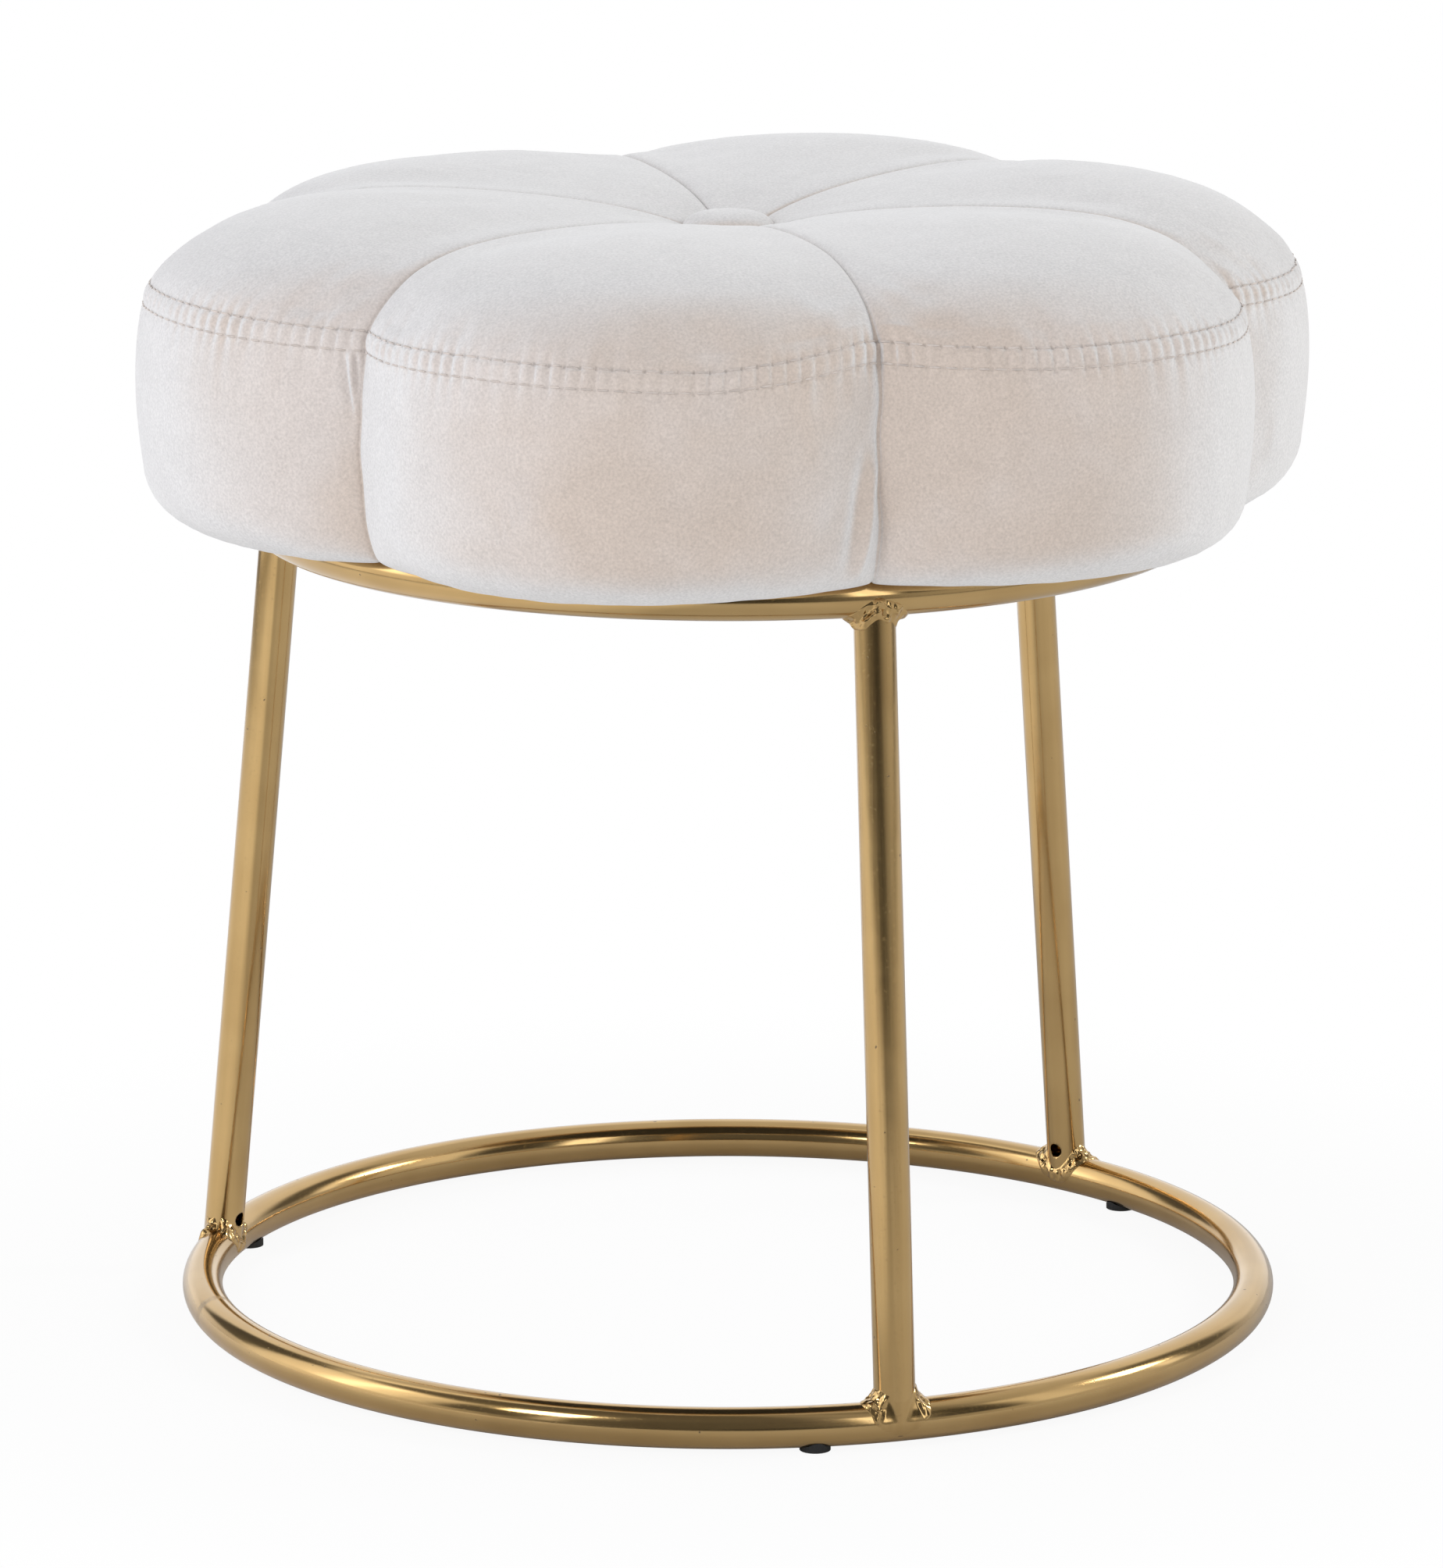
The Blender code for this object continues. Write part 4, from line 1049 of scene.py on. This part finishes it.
def sewn_relief(form):
    """How far the sewing lets the cloth out along its normal, or pulls it in where negative."""
    height = form[..., 2]
    path = paths[:, None]
    relief = -sum(depth * np.exp(-seam_gap / reach) for depth, reach in SEAM_FURROWS)
    relief = np.where(path < 1, 1.15 * relief, relief)
    down = (path - 1) * np.where(path > 1, SIDE_RUN, seam_radius(turn_at(shares)))
    past, between = down - SECOND_ROW, down - SECOND_ROW / 2
    relief += hump(between, *ROLL) - hump(down, *FIRST_FURROW) - hump(past, *SECOND_FURROW)
    groove = ((1 + np.cos(2 * math.pi * shares * STITCHES)) / 2) ** 2
    strength = np.clip(1 + 0.35 * uneven_wave((0.02, 0.08), 3), 0.2, 1.6)
    relief += strength * hump(between, RIB_RISE - RIB_DEPTH * groove, RIB_REACH)
    relief -= strength * groove * (after(past, *PULL_BELOW) + after(-down, *PULL_ABOVE))
    relief += uneven_wave((0.007, 0.014), 5) * after(past, *WAVE_BELOW)
    relief += uneven_wave((0.008, 0.02), 8) * after(-down, *WAVE_ABOVE)
    for notch, side, top, drop, start, stop, width, rise in FOLDS:
        gap = ((shares * PETALS - notch + 3) % PETALS - 3) * PETAL_LENGTH * side
        run = np.clip((top - height) / drop, 0, 1)
        window = np.sin(math.pi * run) ** 0.5 * (path > 1)
        relief += window * hump(gap - start - (stop - start) * run, rise, width)
    across = (shares * PETALS - CREASE_FROM[0]) * PETAL_LENGTH
    slope = (CREASE_TO[0] - CREASE_FROM[0]) * PETAL_LENGTH / (CREASE_TO[1] - CREASE_FROM[1])
    off_line = (across - slope * (height - CREASE_FROM[1])) / math.hypot(1, slope)
    run = np.clip((CREASE_FROM[1] - height) / (CREASE_FROM[1] - CREASE_TO[1]), 0, 1)
    relief -= hump(off_line, *FINE_CREASE) * np.sin(math.pi * run) * (path > 1)
    return relief * (path < 3.5)


def wandering(form):
    """The notch seams wander by a fraction of a millimetre on their way down the side."""
    notch = np.round(shares * PETALS)
    sway = 0.0006 * np.sin(95 * form[..., 2] + 5 * notch)
    sway += 0.0003 * np.sin(260 * form[..., 2] + 2 * notch)
    sway = sway * np.exp(-seam_gap / 0.010) * (paths > 1)[:, None] * (paths < 3)[:, None]
    tangent = np.stack([-form[..., 1], form[..., 0], 0 * form[..., 0]], 2)
    return tangent / np.linalg.norm(tangent, axis=2, keepdims=True) * sway[..., None]


form = cushion_form(shares, paths)
out = outward_normals(form)
seam_gap = from_radial_seams(form, shares)
outer = form + out * sewn_relief(form)[..., None] + wandering(form)
outer = outer + spread_moves(simulated_moves())
inner_rows = np.concatenate([np.arange(len(paths) - 1, 0, -INNER_STEP), [0]])
inner = outer[inner_rows] - out[inner_rows] * CLOTH
cover_mesh, row, column = band_mesh("cover", np.concatenate([outer, inner]), close=True)

# The finish follows the sewing: each point keeps its run round the rim, its run down from the top
# seam, and its distance from the seams between the petals.
depth_of_row = np.where(paths > 1, (paths - 1) * SIDE_RUN, (paths - 1) * TIP_RADIUS)
depth_of_row = np.concatenate([depth_of_row, depth_of_row[inner_rows]])
seam_gap = np.concatenate([seam_gap, seam_gap[inner_rows]])
sewing = cover_mesh.attributes.new("sewing", "FLOAT_VECTOR", "POINT")
laid = np.stack([shares[column] * PERIMETER, depth_of_row[row], seam_gap[row, column]], 1)
sewing.data.foreach_set("vector", laid.astype(np.float32).ravel())

VELVET_DEEP = (0.614, 0.524, 0.456, 1)
VELVET_PALE = (0.668, 0.604, 0.562, 1)
# The paler colour the velvet takes at a glancing angle: a painted sheen, on top of the shader's own sheen.
VELVET_PAINTED_SHEEN = (0.722, 0.706, 0.696, 1)
VELVET_SHEEN = {
    "Sheen Weight": 0.4, "Sheen Roughness": 0.5, "Sheen Tint": (0.97, 0.99, 1, 1),
    "Specular IOR Level": 0.1,
}
# Painted sheen: the velvet is painted deepest in colour in a strip this far right of the middle of the
# picture, where it faces the camera, and paler away from it towards the sides seen at a glance.
PAINTED_SHEEN_LEAST_AT = 0.065


def velvet_finish(name, sewn):
    """Cream velvet: a short pile brushed in patches, with a painted sheen that makes its colour paler at a
    glancing angle and deeper in a strip that faces the camera.
    """
    material, shade = new_material(name)
    place = shade.node("TexCoord", output="Object")
    patches, brushed, pile = (place.noise(scale, 3) for scale in (13, 70, 960))
    # Painted sheen across the picture: deeper in the strip that faces the camera, paler away from it.
    painted_sheen_off_strip = (place.towards(ACROSS) - PAINTED_SHEEN_LEAST_AT).math("ABSOLUTE") * 1.1 - 0.12
    base = (patches + painted_sheen_off_strip).step(0.34, 0.66).mix(VELVET_DEEP, VELVET_PALE)
    # Painted sheen: the colour is mixed towards the paler rim colour as the surface turns away from the
    # view.
    painted_sheen_share = shade.node("LayerWeight", inputs={"Blend": 0.5}, output="Facing").step(0.07, 0.6)
    base = painted_sheen_share.mix(base, VELVET_PAINTED_SHEEN)
    tone = brushed * 0.10 + pile * 0.50 + 0.70
    nap = pile * 0.8 + brushed * 0.2
    if sewn:
        laid = shade.node("Attribute", {"attribute_name": "sewing"}, output="Vector")
        beat = (laid.part("X") * (2 * math.pi / STITCH_PITCH)).math("COSINE").step(0.86, 0.96)
        on_first, on_second = (
            1 - (laid.part("Y") - row).math("ABSOLUTE").step(0.0002, 0.0008)
            for row in (0, SECOND_ROW)
        )
        # Needle holes: dented in the nap, with the shade in them painted into the tone as darker colour.
        holes_and_painted_shade = beat * on_first.math("MAXIMUM", on_second * 0.4)
        tone = tone * (1 - holes_and_painted_shade * 0.20)
        nap = nap - holes_and_painted_shade * 0.9
    lit = shade.node("VectorMath", {"operation": "SCALE"}, {0: base, "Scale": tone})
    return surfaced(material, VELVET_SHEEN, lit, pile * 0.1 + 0.88, nap, 0.45, 0.0005)


velvet = velvet_finish("cream velvet", sewn=True)
cover = finished("cover", cover_mesh, velvet, "seat_cover", slot="velvet")


# Stitches: cream thread in two rows round the top seam, which is sewn first and then stitched down
# by machine through both its turned edges. Each stitch is pulled into the pile.
THREAD_RADIUS = 0.00036
STITCH_LENGTH = 0.0047
size = Matrix.Diagonal((STITCH_LENGTH / 2, THREAD_RADIUS, THREAD_RADIUS * 1.25, 1))
lie = Matrix.Rotation(math.pi / 2, 4, "Y")
stitches = bmesh.new()
columns_at = np.interp((np.arange(STITCHES) + 0.5) / STITCHES, shares, np.arange(len(shares)))
for line in (first_row, second_row):
    for at in columns_at:
        left = int(at)
        before, here, right, beyond = (
            Vector(outer[line, place % len(shares)]) for place in range(left - 1, left + 3)
        )
        ahead = (beyond - before).normalized()
        facing = Vector(out[line, left])
        cross = ahead.cross(facing).normalized()
        turned = Matrix((ahead, facing, cross)).transposed().to_4x4()
        spot = Matrix.Translation(here.lerp(right, at - left) + facing * THREAD_RADIUS * 0.4)
        bmesh.ops.create_uvsphere(
            stitches, u_segments=6, v_segments=5, radius=1, matrix=spot @ turned @ size @ lie
        )
thread = plain_finish("cream thread", (0.68, 0.60, 0.54), 0.8, sheen=0.6, grain=2500)
finished("stitches", mesh_of("stitches", stitches), thread, slot="velvet")


# Button: a domed metal shell covered in the same velvet, which is gathered behind its edge. The
# twine draws it down into the middle of the seat.
BUTTON_EDGE = 0.62
BUTTON_DOME = 1.25
GATHER, GATHERS = 0.006, 11
button_low, button_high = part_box("button")
button_radius = (button_high[0] - button_low[0]) / 2
button_half = (button_high[2] - button_low[2]) / 2
dome = bmesh.new()
bmesh.ops.create_uvsphere(dome, u_segments=96, v_segments=40, radius=1)
for vertex in dome.verts:
    flat = math.hypot(vertex.co.x, vertex.co.y)
    angle = math.atan2(vertex.co.y, vertex.co.x)
    reach = button_radius * flat**BUTTON_EDGE * (1 + GATHER * math.sin(GATHERS * angle) * flat**4)
    level = button_half * (1 + math.copysign(abs(vertex.co.z) ** BUTTON_DOME, vertex.co.z))
    vertex.co = (reach * math.cos(angle), reach * math.sin(angle), button_low[2] + level)
plain_velvet = velvet_finish("button velvet", sewn=False)
finished("covered_button", mesh_of("covered_button", dome), plain_velvet, "button", slot="velvet")


# Twine: a waxed cord that is tied to the button and goes down through the foam and the board,
# where it is pulled tight and ends in a tail.
refinish(plain_finish("waxed twine", (0.78, 0.72, 0.60), 0.8, grain=1500), "button_twine")

size = {"cad": [list(corner) for corner in cad_box], "scene": [list(corner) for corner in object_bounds()]}
